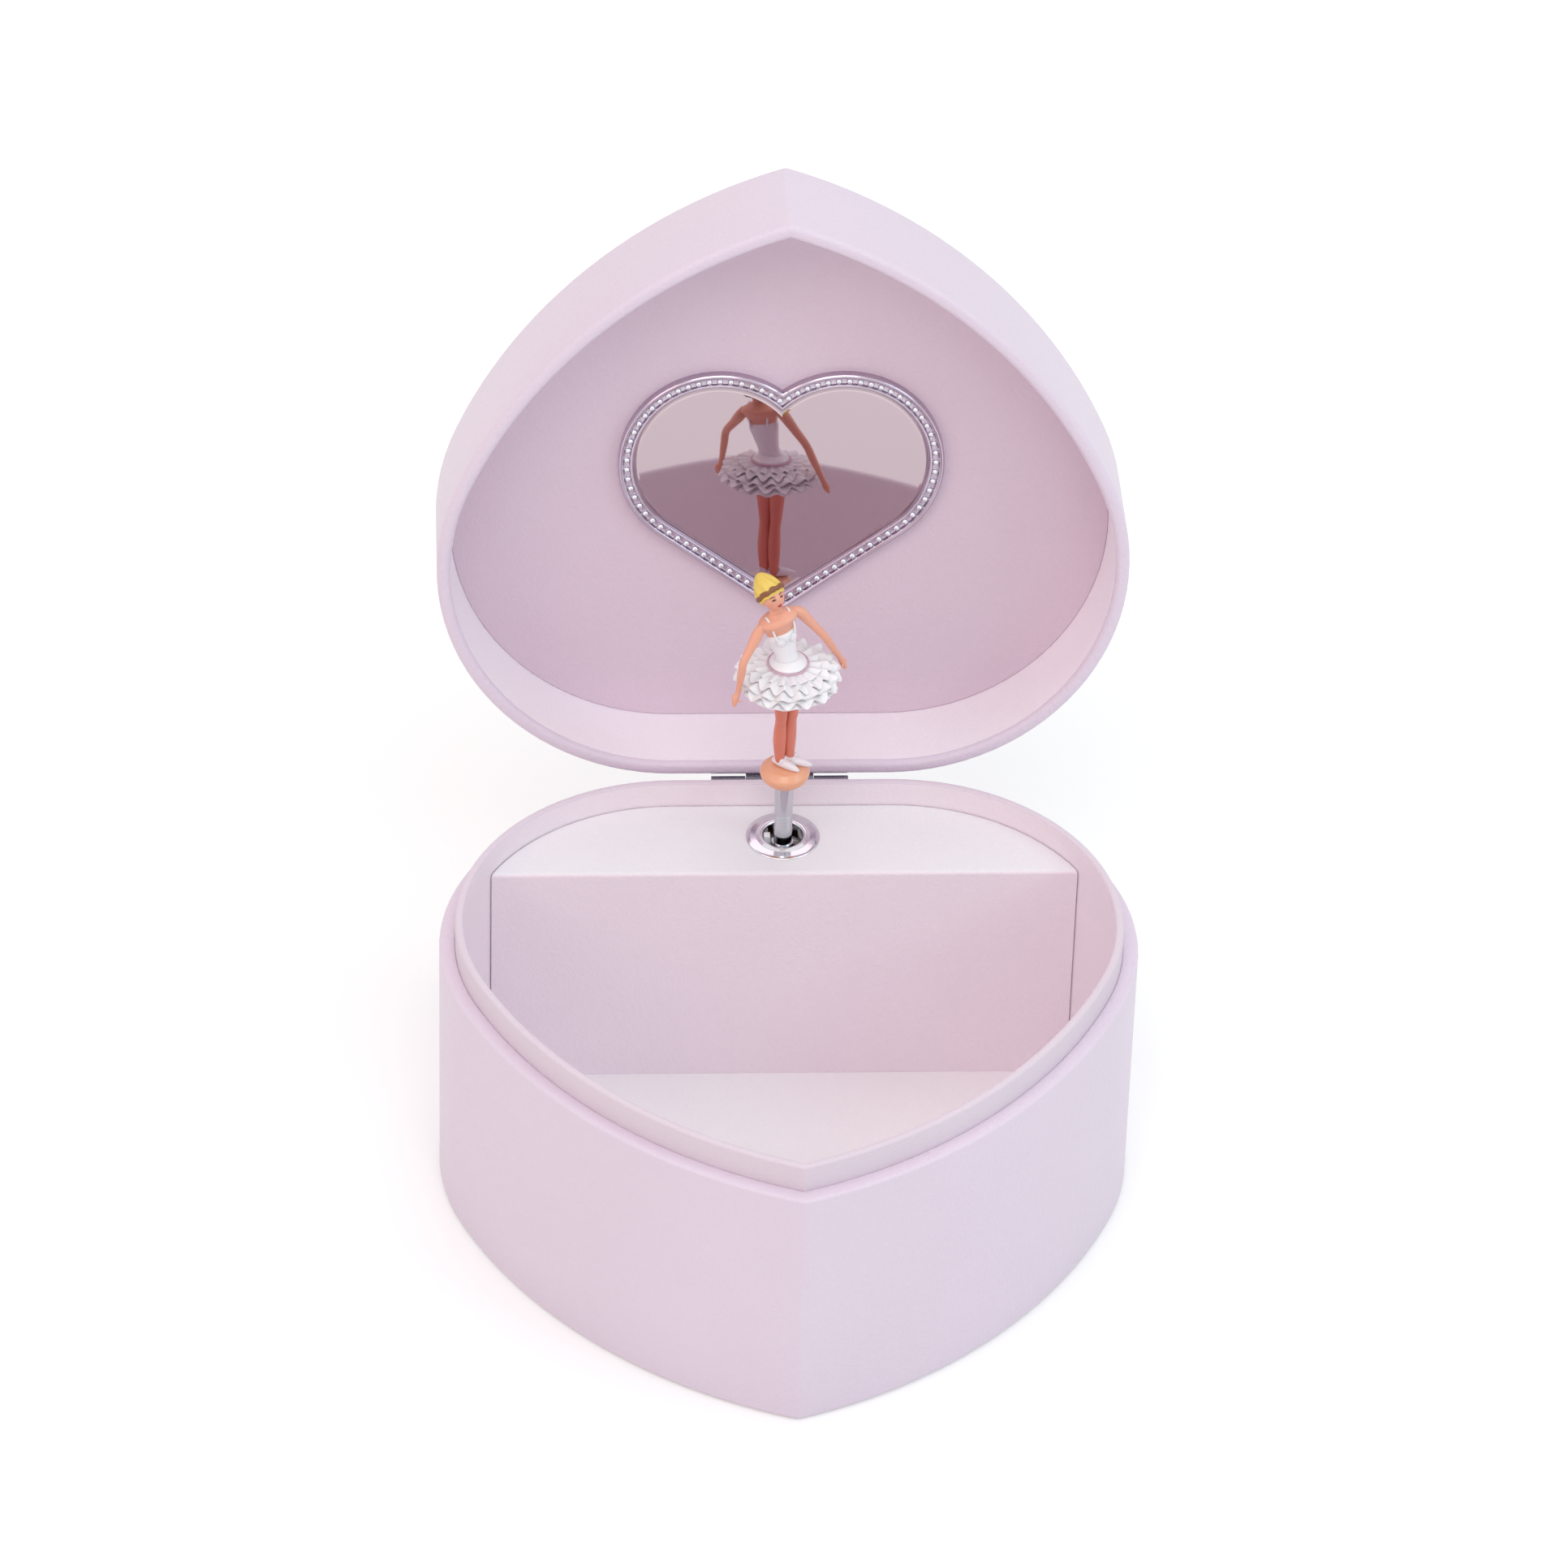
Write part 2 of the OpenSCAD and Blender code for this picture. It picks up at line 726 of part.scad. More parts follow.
module stop_plunger() {
    z = top_plate_z + plate_thick + 1 + plunger_travel + 0.15;
    color(white) {
        translate([-4.1, drum_y + 3.2, z]) cube([fan_x + 5.4, 1.6, 1]);
        translate([-4.1, drum_y - 0.8, z]) cube([1.3, 4.8, 1]);
        translate([-4.1, drum_y - 0.8, z]) cube([1.3, 1.6, cover_top_z + 0.6 - z]);
        translate([fan_x - 0.8, drum_y - 0.8, z]) cube([1.6, 4.8, 1]);
    }
}

// Close-wound bend spring, drawn as a stack of rings
module bend_spring() {
    rings = round(spring_length / spring_wire);
    pitch = spring_length / rings;
    color(steel) translate([0, drum_y, spring_low]) rotate_extrude() polygon(concat(
        [[post - spring_wire * 1.4, 0]],
        [for (k = [0 : rings - 1], s = [0 : 2])
            [post - (s == 1 ? 0 : spring_wire * 0.22), pitch * (k + s / 2 * 0.96 + 0.02)]],
        [[post - spring_wire * 1.4, spring_length]]));
}

module on_post(z) {
    translate([0, drum_y, z]) children();
}

module figure_post() {
    color(steel) on_post(post_low) cylinder(r = post, h = bead_low - post_low);
}

module figure_bead() {
    half = bead_tall / 2;
    color(skin) on_post(bead_low) rotate_extrude() polygon(concat(
        [[0, 0]],
        [for (a = [-75 : 15 : 75]) [bead * cos(a), half + half * sin(a)]],
        [[0, bead_tall]]));
}

// A tapered limb between two points
module limb(a, b, ra, rb) {
    hull() {
        translate(a) sphere(ra, $fn = 16);
        translate(b) sphere(rb, $fn = 16);
    }
}

// Children are drawn facing the front and turned to where the figure looks
module facing(z) {
    on_post(z) rotate([0, 0, figure_turn]) children();
}

// Children are drawn above the waist and lean to the side with the torso
module leaning() {
    on_post(waist_z) rotate([0, -lean, 0]) rotate([0, 0, figure_turn]) children();
}

module slippers() {
    color(white) facing(foot_z) difference() {
        for (side = [-1, 1])
            rotate([0, 0, side * 38]) translate([side * 0.9, -1.9, 0.5]) scale([0.5, 1.45, 0.75]) sphere(2, $fn = 24);
        translate([-6, -8, -4]) cube([12, 12, 4]);
        translate([-6, -8, 1.6]) cube([12, 12, 4]);
    }
}

module legs() {
    color(skin) facing(foot_z + 1.6)
        for (side = [-1, 1])
            translate([side * 1.2, 0, 0]) cylinder(r1 = 1.15, r2 = 1.75, h = hip_z - 1.6 - foot_z - 1.2);
}

// Each layer is a disc with a waved edge
module tutu_layer(r, z, thick, turn) {
    translate([0, 0, z]) rotate([0, 0, turn]) linear_extrude(thick)
        polygon([for (k = [0 : tutu_folds * 4 - 1])
            let (a = 90 * k / tutu_folds, wave = r - 0.55 + 0.55 * cos(90 * k))
            wave * [cos(a), sin(a)]]);
}

module tutu_skirt() {
    color(white) facing(hip_z) {
        tutu_layer(tutu * 0.96, -1.2, 0.8, 90 / tutu_folds);
        tutu_layer(tutu, -0.4, 0.8, 0);
        tutu_layer(tutu * 0.9, 0.4, 0.8, 90 / tutu_folds);
        translate([0, 0, 1.2]) cylinder(r1 = tutu * 0.7, r2 = 3.1, h = 1.8);
    }
}

module bodice() {
    chest = torso_tall - 4;
    color(white) leaning() scale([1, 0.85, 1]) rotate_extrude() polygon([
        [0, 0.55],
        [2.5, 0.55],
        [2.3, 2],
        [2.7, 4.4],
        [3.4, chest - 1.6],
        [3.2, chest - 0.4],
        [2.6, chest],
        [0, chest],
    ]);
}

// The shoulders and neck in one piece, on the bodice
module shoulders() {
    chest = torso_tall - 4;
    color(skin) leaning() scale([1, 0.72, 1]) rotate_extrude() polygon([
        [0, chest],
        [2.55, chest],
        [3.3, chest + 2],
        [3.5, torso_tall - 0.8],
        [2.6, torso_tall + 0.3],
        [1.3, torso_tall + 1],
        [1.2, torso_tall + 2.4],
        [0, torso_tall + 2.4],
    ]);
}

shoulder_z = torso_tall - 1;
shoulder_out = 4.75;

// Where a point on the leaning torso lies, measured upright from the waist
function leaned(p) =
    let (x = p[0] * cos(figure_turn) - p[1] * sin(figure_turn),
         y = p[0] * sin(figure_turn) + p[1] * cos(figure_turn))
    [x * cos(lean) - p[2] * sin(lean), y, x * sin(lean) + p[2] * cos(lean)];

function faced(p) =
    [p[0] * cos(figure_turn) - p[1] * sin(figure_turn), p[0] * sin(figure_turn) + p[1] * cos(figure_turn), p[2]];

module arms() {
    hand_r = 0.75;
    color(skin) on_post(waist_z)
        for (side = [-1, 1]) {
            top = leaned([side * shoulder_out, 0, shoulder_z]);
            elbow = faced([side * 10.2 - 0.6, -0.6, 6]);
            hand = faced([side * (reach - hand_r), -0.4, -5]);
            limb(top, elbow, 1.1, 0.9);
            limb(elbow, hand, 0.9, hand_r);
        }
}

module head() {
    color(skin) leaning() translate([0, 0, torso_tall + 5]) difference() {
        scale([0.84, 0.9, 1]) sphere(3.1);
        translate([-9, -9, -11.6]) cube([18, 18, 9]);
        translate([-9, 0.4, -0.8]) cube([18, 9, 9]);
        translate([-9, -9, 1.2]) cube([18, 18, 9]);
    }
}

module hair() {
    color([0.45, 0.28, 0.16]) leaning() translate([0, 0, torso_tall + 5]) intersection() {
        scale([0.95, 1, 1]) sphere(3.5);
        translate([-9, 0.4, -0.8]) cube([18, 9, 2]);
    }
}

module hat() {
    color([0.95, 0.78, 0.3]) leaning() translate([0, 0.3, torso_tall + 6.2]) rotate_extrude() polygon([
        [0, 0],
        [3.5, 0],
        [3.6, 0.8],
        [3.1, 2.2],
        [2.1, 3.7],
        [1, 4.6],
        [0, 4.8],
    ]);
}

case_wall();
bottom_board();
base_paper_sheet();
inner_collar();
floor_lining();
cover_top();
cover_front();
grommet();
hinge_leaf_base();
hinge_pin();
hinge_screws_base();
bedplate();
bedplate_screws();
spring_barrel();
mainspring();
lower_bearing();
top_plate();
governor_plate();
comb();
comb_block();
comb_screws();
key_washer();
lid_wall();
lid_top();
lid_lining();
mirror_frame();
mirror_glass();
hinge_leaf_lid();
hinge_screws_lid();
winding_arbor();
winding_key();
great_wheel();
drum_arbor();
drum_barrel();
drum_wheel();
spindle_hub();
first_arbor();
first_wheel();
second_arbor();
second_wheel();
fan_arbor();
fan_blades();
stop_plunger();
bend_spring();
figure_post();
figure_bead();
slippers();
legs();
tutu_skirt();
bodice();
shoulders();
arms();
head();
hair();
hat();
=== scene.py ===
"""A heart-shaped wind-up music box with a turning dancer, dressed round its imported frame."""

import json
import math

import bmesh
import bpy
from mathutils import Matrix, Vector

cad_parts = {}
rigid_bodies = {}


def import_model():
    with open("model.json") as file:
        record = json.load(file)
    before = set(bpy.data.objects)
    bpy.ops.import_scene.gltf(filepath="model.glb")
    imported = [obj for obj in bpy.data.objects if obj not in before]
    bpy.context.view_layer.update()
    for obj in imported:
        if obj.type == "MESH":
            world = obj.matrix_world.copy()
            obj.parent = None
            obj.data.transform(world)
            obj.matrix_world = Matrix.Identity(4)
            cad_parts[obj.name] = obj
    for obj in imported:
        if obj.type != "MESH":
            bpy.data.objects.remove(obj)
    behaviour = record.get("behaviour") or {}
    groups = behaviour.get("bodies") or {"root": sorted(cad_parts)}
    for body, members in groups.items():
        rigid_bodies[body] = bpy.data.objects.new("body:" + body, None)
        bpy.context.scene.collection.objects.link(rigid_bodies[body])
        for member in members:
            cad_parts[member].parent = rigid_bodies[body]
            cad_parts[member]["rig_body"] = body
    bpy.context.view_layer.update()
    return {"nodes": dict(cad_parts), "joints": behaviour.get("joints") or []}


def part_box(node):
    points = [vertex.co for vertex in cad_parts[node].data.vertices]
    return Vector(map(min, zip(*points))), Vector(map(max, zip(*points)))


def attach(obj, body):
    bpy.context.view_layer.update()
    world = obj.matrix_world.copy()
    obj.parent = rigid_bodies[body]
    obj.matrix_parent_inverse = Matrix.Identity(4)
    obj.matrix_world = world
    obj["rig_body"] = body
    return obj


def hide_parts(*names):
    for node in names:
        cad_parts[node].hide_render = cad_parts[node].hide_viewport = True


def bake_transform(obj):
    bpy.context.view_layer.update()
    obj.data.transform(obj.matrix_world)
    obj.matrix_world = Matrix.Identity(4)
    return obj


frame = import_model()
nodes = frame["nodes"]

MM = 0.001


# ---------------- places taken from the frame, in millimetres

def box(node):
    """A node's lowest and highest corners."""
    low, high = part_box(node)
    return low / MM, high / MM


lid_range = next(joint["range_deg"] for joint in frame["joints"] if joint["name"] == "lid_swing")
LID_OPEN = math.radians(max(abs(angle) for angle in lid_range))
pin_low, pin_high = box("hinge_pin")
HINGE = (pin_low + pin_high) / 2


def turned(point, angle):
    """A point turned back about the hinge pin by angle."""
    y, z = point[1] - HINGE.y, point[2] - HINGE.z
    c, s = math.cos(angle), math.sin(angle)
    return Vector((point[0], HINGE.y + y * c + z * s, HINGE.z - y * s + z * c))


def opened(point):
    """Where a point of the closed lid lies when the lid stands open, as it does at rest."""
    return turned(point, LID_OPEN)


def closed_box(node):
    """A lid node's lowest and highest corners as they are when the lid is closed."""
    points = [turned(v.co / MM, -LID_OPEN) for v in nodes[node].data.vertices]
    return (Vector(min(p[i] for p in points) for i in range(3)),
            Vector(max(p[i] for p in points) for i in range(3)))


wall_low, wall_high = box("case_wall")
collar_low, collar_high = box("inner_collar")
cover_low, cover_high = box("cover_top")
panel_low, panel_high = box("cover_front")
grommet_low, grommet_high = box("grommet")
lid_low = closed_box("lid_wall")[0]
lid_high = closed_box("lid_top")[1]
lining_low, lining_high = closed_box("lid_lining")
heart_low, heart_high = closed_box("mirror_frame")

# The dancer's upright axis runs through the middle of the grommet
AXIS = (grommet_low + grommet_high) / 2
FLOOR = collar_low.z
WALL_TOP = wall_high.z
COLLAR_TOP = collar_high.z
COVER_TOP = cover_high.z
BASE = wall_low.z

# The case's plan: back corners of radius LOBE, and long sides of radius FLANK that meet in a rounded tip
LOBE = wall_high.y
STRAIGHT = wall_high.x - LOBE
FLANK = 115
FLANK_ANGLE = math.radians(24)
FLANK_X = (FLANK - LOBE) * math.cos(FLANK_ANGLE) - STRAIGHT
FLANK_Y = (FLANK - LOBE) * math.sin(FLANK_ANGLE)
TIP_ROUND = 2.6
LEAST_TIP_ROUND = 0.5

# Thicknesses of the case's wall, its collar and the lid's wall, and the inset of the collar's inner side
WALL = 3.4
COLLAR = 1.8
LID_WALL = 3
INNER = WALL + COLLAR

# The mirror's heart: two lobes set HEART_OFFSET to the sides, which straight sides leave at HEART_ANGLE
HEART_OFFSET = 13.5
HEART_ANGLE = math.radians(54)
HEART_RADIUS = heart_high.x - HEART_OFFSET
HEART_Y = heart_low.y + HEART_RADIUS
HEART_TIP_ROUND = 1.6
LEAST_HEART_TIP_ROUND = 0.25
FRAME_WIDTH = 3.5


# ---------------- shapes

def spaced(start, end, steps):
    return [start + (end - start) * k / steps for k in range(steps + 1)]


def round_turn(count):
    """Angles that divide a full turn evenly."""
    return spaced(0, math.tau, count)[:-1]


def arc(centre, radius, start, end, steps):
    return [(centre[0] + radius * math.cos(a), centre[1] + radius * math.sin(a))
            for a in spaced(start, end, steps)]


def mirrored(right):
    """A closed outline from its right half, whose first and last points lie on the middle line."""
    return right + [(-x, y) for x, y in reversed(right[1:-1])]


def plan(inset):
    """The case's outline, moved inwards by inset: back corners, long sides and a rounded tip."""
    lobe, flank = LOBE - inset, FLANK - inset
    tip = max(TIP_ROUND - inset, LEAST_TIP_ROUND)
    tip_y = FLANK_Y - math.sqrt((flank - tip) ** 2 - FLANK_X ** 2)
    end = math.atan2(tip_y - FLANK_Y, FLANK_X)
    right = [(x, lobe) for x in spaced(0, STRAIGHT, steps=4)[:-1]]
    right += arc((STRAIGHT, 0), lobe, math.pi / 2, -FLANK_ANGLE, steps=30)
    right += arc((-FLANK_X, FLANK_Y), flank, -FLANK_ANGLE, end, steps=24)[1:]
    right += arc((0, tip_y), tip, end, -math.pi / 2, steps=4)[1:]
    return mirrored(right)


def heart(inset):
    """The mirror's outline, moved inwards by inset, with its point towards the hinge."""
    radius = HEART_RADIUS - inset
    top = math.pi - math.acos(HEART_OFFSET / radius)
    right = [(HEART_OFFSET + radius * math.cos(a), HEART_Y - radius * math.sin(a))
             for a in spaced(top, -HEART_ANGLE, steps=34)]
    tip = max(HEART_TIP_ROUND - inset, LEAST_HEART_TIP_ROUND)
    reach = radius + HEART_OFFSET * math.cos(HEART_ANGLE)
    tip_y = HEART_Y + (reach - tip) / math.sin(HEART_ANGLE)
    last = arc((0, tip_y), tip, HEART_ANGLE, math.pi / 2, steps=3)
    start = Vector(right[-1])
    right += [tuple(start.lerp(Vector(last[0]), t)) for t in spaced(0, 1, steps=8)[1:-1]]
    return mirrored(right + last)


def rounded(corners, closed=True, steps=4):
    """Corners are (x, y, radius). Each one is rounded by its radius."""
    points = []
    for i, (x, y, radius) in enumerate(corners):
        if radius <= 0 or (not closed and i in (0, len(corners) - 1)):
            points.append((x, y))
            continue
        corner = Vector((x, y))
        to_last = (Vector(corners[i - 1][:2]) - corner).normalized()
        to_next = (Vector(corners[(i + 1) % len(corners)][:2]) - corner).normalized()
        half = to_last.angle(to_next) / 2
        centre = corner + (to_last + to_next).normalized() * (radius / math.sin(half))
        first = corner + to_last * (radius / math.tan(half)) - centre
        final = corner + to_next * (radius / math.tan(half)) - centre
        start = math.atan2(first.y, first.x)
        sweep = (math.atan2(final.y, final.x) - start + math.pi) % math.tau - math.pi
        points += arc(centre, radius, start, start + sweep, steps)
    return points


def skin(loops, closed=False, caps=True):
    """Faces between loops with the same number of points, in order."""
    count = len(loops[0])
    points = [p for loop in loops for p in loop]
    faces = []
    for i in range(len(loops) if closed else len(loops) - 1):
        a, b = i * count, ((i + 1) % len(loops)) * count
        faces += [(a + k, a + (k + 1) % count, b + (k + 1) % count, b + k) for k in range(count)]
    if caps and not closed:
        faces.append(tuple(range(count)))
        faces.append(tuple(range((len(loops) - 1) * count, len(loops) * count)))
    return points, faces


def swept(profile, outline=plan, **how):
    """A profile of (inset, z) carried round an outline."""
    return skin([[(x, y, z) for x, y in outline(inset)] for inset, z in profile], **how)


def lathe(profile, centre=(0, 0, 0), around=64, **how):
    """A profile of (radius, z) turned about the vertical through centre."""
    loops = [[(centre[0] + r * math.cos(a), centre[1] + r * math.sin(a), centre[2] + z)
              for a in round_turn(around)] for r, z in profile]
    return skin(loops, **how)


def smooth_path(points, steps=6):
    """Points along a smooth curve through the given (x, y, z, radius...) points."""
    ends = [points[0], *points, points[-1]]
    path = []
    for i in range(1, len(ends) - 2):
        p0, p1, p2, p3 = (Vector(ends[i + j]) for j in (-1, 0, 1, 2))
        for k in range(steps):
            t = k / steps
            path.append(0.5 * (2 * p1 + (p2 - p0) * t + (2 * p0 - 5 * p1 + 4 * p2 - p3) * t * t
                               + (3 * p1 - p0 - 3 * p2 + p3) * t ** 3))
    return path + [Vector(points[-1])]


def smooth_profile(points, steps=3):
    """A smooth profile of (radius, z) through the given ones."""
    return [(p.x, p.y) for p in smooth_path([(r, z, 0) for r, z in points], steps)]


# A limb's end is rounded by rings at these angles. A side shorter than LEAST_SIDE points along the limb
ROUND_END_ANGLES = (1.25, 0.85, 0.42)
LEAST_SIDE = 0.05
UP = (0, 0, 1)


def tube(points, around, steps, first_side=(0, 1, 0)):
    """A round limb through (x, y, z, radius) points, with rounded ends. Its rings start at first_side."""
    path = smooth_path([Vector(p) for p in points], steps)
    centres = [p.xyz for p in path]
    radii = [p.w for p in path]
    last = len(path) - 1
    side = Vector(first_side)
    loops = []

    def ring(centre, radius, other):
        return [centre + side * (radius * math.cos(a)) + other * (radius * math.sin(a))
                for a in round_turn(around)]

    for i, centre in enumerate(centres):
        ahead = (centres[min(i + 1, last)] - centres[max(i - 1, 0)]).normalized()
        side = side - ahead * side.dot(ahead)
        side = side.normalized() if side.length > LEAST_SIDE else ahead.orthogonal().normalized()
        other = ahead.cross(side)
        round_end = [(math.sin(t) * radii[i], math.cos(t) * radii[i]) for t in ROUND_END_ANGLES]
        if i == 0:
            loops += [ring(centre - ahead * out, radius, other) for out, radius in round_end]
        loops.append(ring(centre, radii[i], other))
        if i == last:
            loops += [ring(centre + ahead * out, radius, other) for out, radius in reversed(round_end)]
    return skin(loops)


def blob(centre, size, around, rows, shape=None):
    """An ellipsoid, whose points shape may move. shape takes and gives a unit vector."""
    loops = []
    for row in range(1, rows):
        tilt = math.pi * row / rows
        ring = []
        for a in round_turn(around):
            p = Vector((math.sin(tilt) * math.cos(a), math.sin(tilt) * math.sin(a), math.cos(tilt)))
            p = shape(p) if shape else p
            ring.append(Vector(centre) + Vector((p.x * size[0], p.y * size[1], p.z * size[2])))
        loops.append(ring)
    return skin(loops)


def joined(*shapes):
    """One shape from several."""
    points, faces = [], []
    for some, more in shapes:
        start = len(points)
        points += some
        faces += [tuple(i + start for i in face) for face in more]
    return points, faces


def moved(shape, way):
    """A shape with way applied to each point."""
    return [way(Vector(p)) for p in shape[0]], shape[1]


# Least angles of the edges that stay sharp, in boards, castings, rounded pieces and soft forms
SHARP_EDGE = 32
CAST_EDGE = 50
ROUND_EDGE = 60
SOFT_EDGE = 70


def smoothed(mesh, sharp):
    """Smooths a mesh but for its edges sharper than sharp degrees."""
    mesh.shade_smooth()
    mesh.set_sharp_from_angle(angle=math.radians(sharp))


def build(name, shape, material, sharp=SHARP_EDGE):
    """A mesh object from a shape in millimetres, smooth but for edges sharper than sharp degrees."""
    mesh = bpy.data.meshes.new(name)
    mesh.from_pydata([Vector(p) * MM for p in shape[0]], [], shape[1])
    mesh.validate()
    piece = bpy.data.objects.new(name, mesh)
    bpy.context.scene.collection.objects.link(piece)
    work = bmesh.new()
    work.from_mesh(mesh)
    bmesh.ops.recalc_face_normals(work, faces=work.faces)
    work.to_mesh(mesh)
    work.free()
    smoothed(mesh, sharp)
    mesh.materials.append(material)
    return piece


def cut(piece, tool, operation="DIFFERENCE"):
    """Cuts tool out of piece, or keeps what they share, and leaves a plain mesh."""
    change = piece.modifiers.new("cut", "BOOLEAN")
    change.operation = operation
    change.solver = "EXACT"
    change.object = tool
    view = bpy.context.evaluated_depsgraph_get()
    mesh = bpy.data.meshes.new_from_object(piece.evaluated_get(view))
    piece.modifiers.clear()
    piece.data = mesh
    bpy.data.objects.remove(tool)
    smoothed(mesh, SHARP_EDGE)


def stands_for(piece, slot, *names):
    """piece replaces CAD nodes and rides on their body."""
    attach(piece, nodes[names[0]]["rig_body"])
    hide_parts(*names)


def goes_with(piece, node):
    """piece rides on the body of a CAD node."""
    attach(piece, nodes[node]["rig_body"])


def second_material(piece, material, where):
    """Gives piece a second material on the faces for which where(face) holds."""
    piece.data.materials.append(material)
    for face in piece.data.polygons:
        if where(face):
            face.material_index = 1


# ---------------- materials

def linear(colour):
    """A screen colour of 0 to 255, as the renderer's linear one."""
    return tuple(((c / 255 + 0.055) / 1.055) ** 2.4 if c > 10 else c / 255 / 12.92 for c in colour) + (1,)


FINE_NOISE = 1400
LEAST_ROUGHNESS = 0.02
CLOUD_DETAIL = 4
FINE_DETAIL = 3
GRAIN_SMOOTHNESS = 0.6


def finish(name, colour, second, blotch, roughness=0.5, spread=0.08, grain=(), noise_height=0.02, **shader):
    """A material whose colour drifts between two, whose roughness varies by spread, and which has a grain.

    blotch is how many of the colour's patches lie in a metre. grain holds (cells in a metre, height) pairs.
    Heights are in millimetres.
    """
    made = bpy.data.materials.new(name)
    made.use_nodes = True
    tree = made.node_tree
    main = tree.nodes["Principled BSDF"]
    for socket, value in shader.items():
        main.inputs[socket.replace("_", " ")].default_value = value
    place = tree.nodes.new("ShaderNodeTexCoord").outputs["Object"]

    def noise(scale, detail):
        node = tree.nodes.new("ShaderNodeTexNoise")
        node.inputs["Scale"].default_value = scale
        node.inputs["Detail"].default_value = detail
        tree.links.new(place, node.inputs["Vector"])
        return node.outputs["Fac"]

    cloud = noise(blotch, CLOUD_DETAIL)
    mix = tree.nodes.new("ShaderNodeMix")
    mix.data_type = "RGBA"
    mix.inputs["A"].default_value = linear(colour)
    mix.inputs["B"].default_value = linear(second)
    tree.links.new(cloud, mix.inputs["Factor"])
    tree.links.new(mix.outputs["Result"], main.inputs["Base Color"])
    fine = noise(FINE_NOISE, FINE_DETAIL)
    rough = tree.nodes.new("ShaderNodeMapRange")
    rough.inputs["To Min"].default_value = max(roughness - spread, LEAST_ROUGHNESS)
    rough.inputs["To Max"].default_value = roughness + spread
    tree.links.new(fine, rough.inputs["Value"])
    tree.links.new(rough.outputs["Result"], main.inputs["Roughness"])
    bump = tree.nodes.new("ShaderNodeBump")
    bump.inputs["Distance"].default_value = noise_height * MM
    tree.links.new(fine, bump.inputs["Height"])
    for scale, height in grain:
        cells = tree.nodes.new("ShaderNodeTexVoronoi")
        cells.feature = "SMOOTH_F1"
        cells.inputs["Scale"].default_value = scale
        cells.inputs["Smoothness"].default_value = GRAIN_SMOOTHNESS
        tree.links.new(place, cells.inputs["Vector"])
        over = tree.nodes.new("ShaderNodeBump")
        over.inputs["Distance"].default_value = height * MM
        over.invert = True
        tree.links.new(cells.outputs["Distance"], over.inputs["Height"])
        tree.links.new(bump.outputs["Normal"], over.inputs["Normal"])
        bump = over
    tree.links.new(bump.outputs["Normal"], main.inputs["Normal"])
    return made


LEATHER_GRAIN = ((1500, 0.085), (700, 0.06))
PAPER_GRAIN = ((1500, 0.08), (800, 0.04))

# Case and lid
leatherette = finish("leatherette", (229, 214, 229), (223, 207, 223), 25, 0.5, grain=LEATHER_GRAIN,
                     Sheen_Weight=0.25, Sheen_Roughness=0.5)
lining = finish("lining_paper", (237, 233, 237), (232, 227, 233), 25, 0.55, grain=PAPER_GRAIN)
divider_paper = finish("divider_paper", (244, 232, 240), (239, 225, 234), 25, 0.55, grain=PAPER_GRAIN)
# The lid's inner wall: the fabric's colour lightened to near-white, painted light for the light that falls
# on that wall
lid_wall_lit_paper = finish("lid_wall_painted_light", (252, 244, 250), (249, 240, 247), 25, 0.55, grain=PAPER_GRAIN)
collar_paper = finish("collar_paper", (226, 212, 223), (220, 205, 217), 25, 0.55, grain=PAPER_GRAIN)
floor_paper = finish("floor_paper", (243, 239, 242), (240, 234, 237), 20, 0.55, grain=PAPER_GRAIN)
panel_cloth = finish("lid_panel_cloth", (224, 204, 218), (217, 196, 210), 25, 0.6, grain=PAPER_GRAIN)
board = finish("fibre_board", (186, 152, 112), (160, 126, 88), 160, 0.8, noise_height=0.06)
paper = finish("base_paper", (232, 229, 224), (222, 218, 212), 60, 0.8)

# Metals and glass
chrome = finish("chrome", (226, 226, 230), (220, 220, 226), 80, 0.1, 0.02, noise_height=0.0004, Metallic=1.0)
# The frame's metal, tinted mauve and darkened: partly the metal's own colour, partly painted shade for the
# purple shading and dark reflections on the frame
frame_metal_and_shade = finish("frame_metal_and_shade", (200, 188, 201), (188, 175, 190), 120, 0.18, 0.04, noise_height=0.001,
                     Metallic=1.0)
steel = finish("steel", (176, 178, 184), (164, 166, 172), 220, 0.26, 0.05, noise_height=0.001, Metallic=1.0)
post_steel = finish("post_steel", (206, 206, 212), (200, 200, 206), 120, 0.14, 0.03, noise_height=0.0003,
                    Metallic=1.0)
dark_steel = finish("spring_steel", (112, 116, 126), (92, 96, 108), 220, 0.3, 0.08, noise_height=0.002,
                    Metallic=1.0)
zinc = finish("zinc_casting", (158, 160, 164), (142, 144, 150), 300, 0.45, 0.1, noise_height=0.015,
              Metallic=1.0)
brass = finish("brass", (212, 176, 98), (196, 158, 82), 200, 0.26, 0.06, noise_height=0.002, Metallic=1.0)
# The mirror's reflectance: the glass's own slight loss, darkened further and tinted mauve as painted shade
# for the dim room that it reflects
mirror = finish("mirror_glass", (192, 174, 181), (189, 171, 178), 20, 0.025, 0.005, noise_height=0.0,
                Metallic=1.0)

# Dancer
bead_plastic = finish("bead_plastic", (244, 180, 144), (238, 168, 130), 200, 0.3, 0.05, Coat_Weight=0.3)
skin_plastic = finish("skin_plastic", (238, 176, 150), (232, 160, 136), 200, 0.38, 0.05, noise_height=0.003,
                      Subsurface_Weight=0.1, Subsurface_Scale=0.0008)
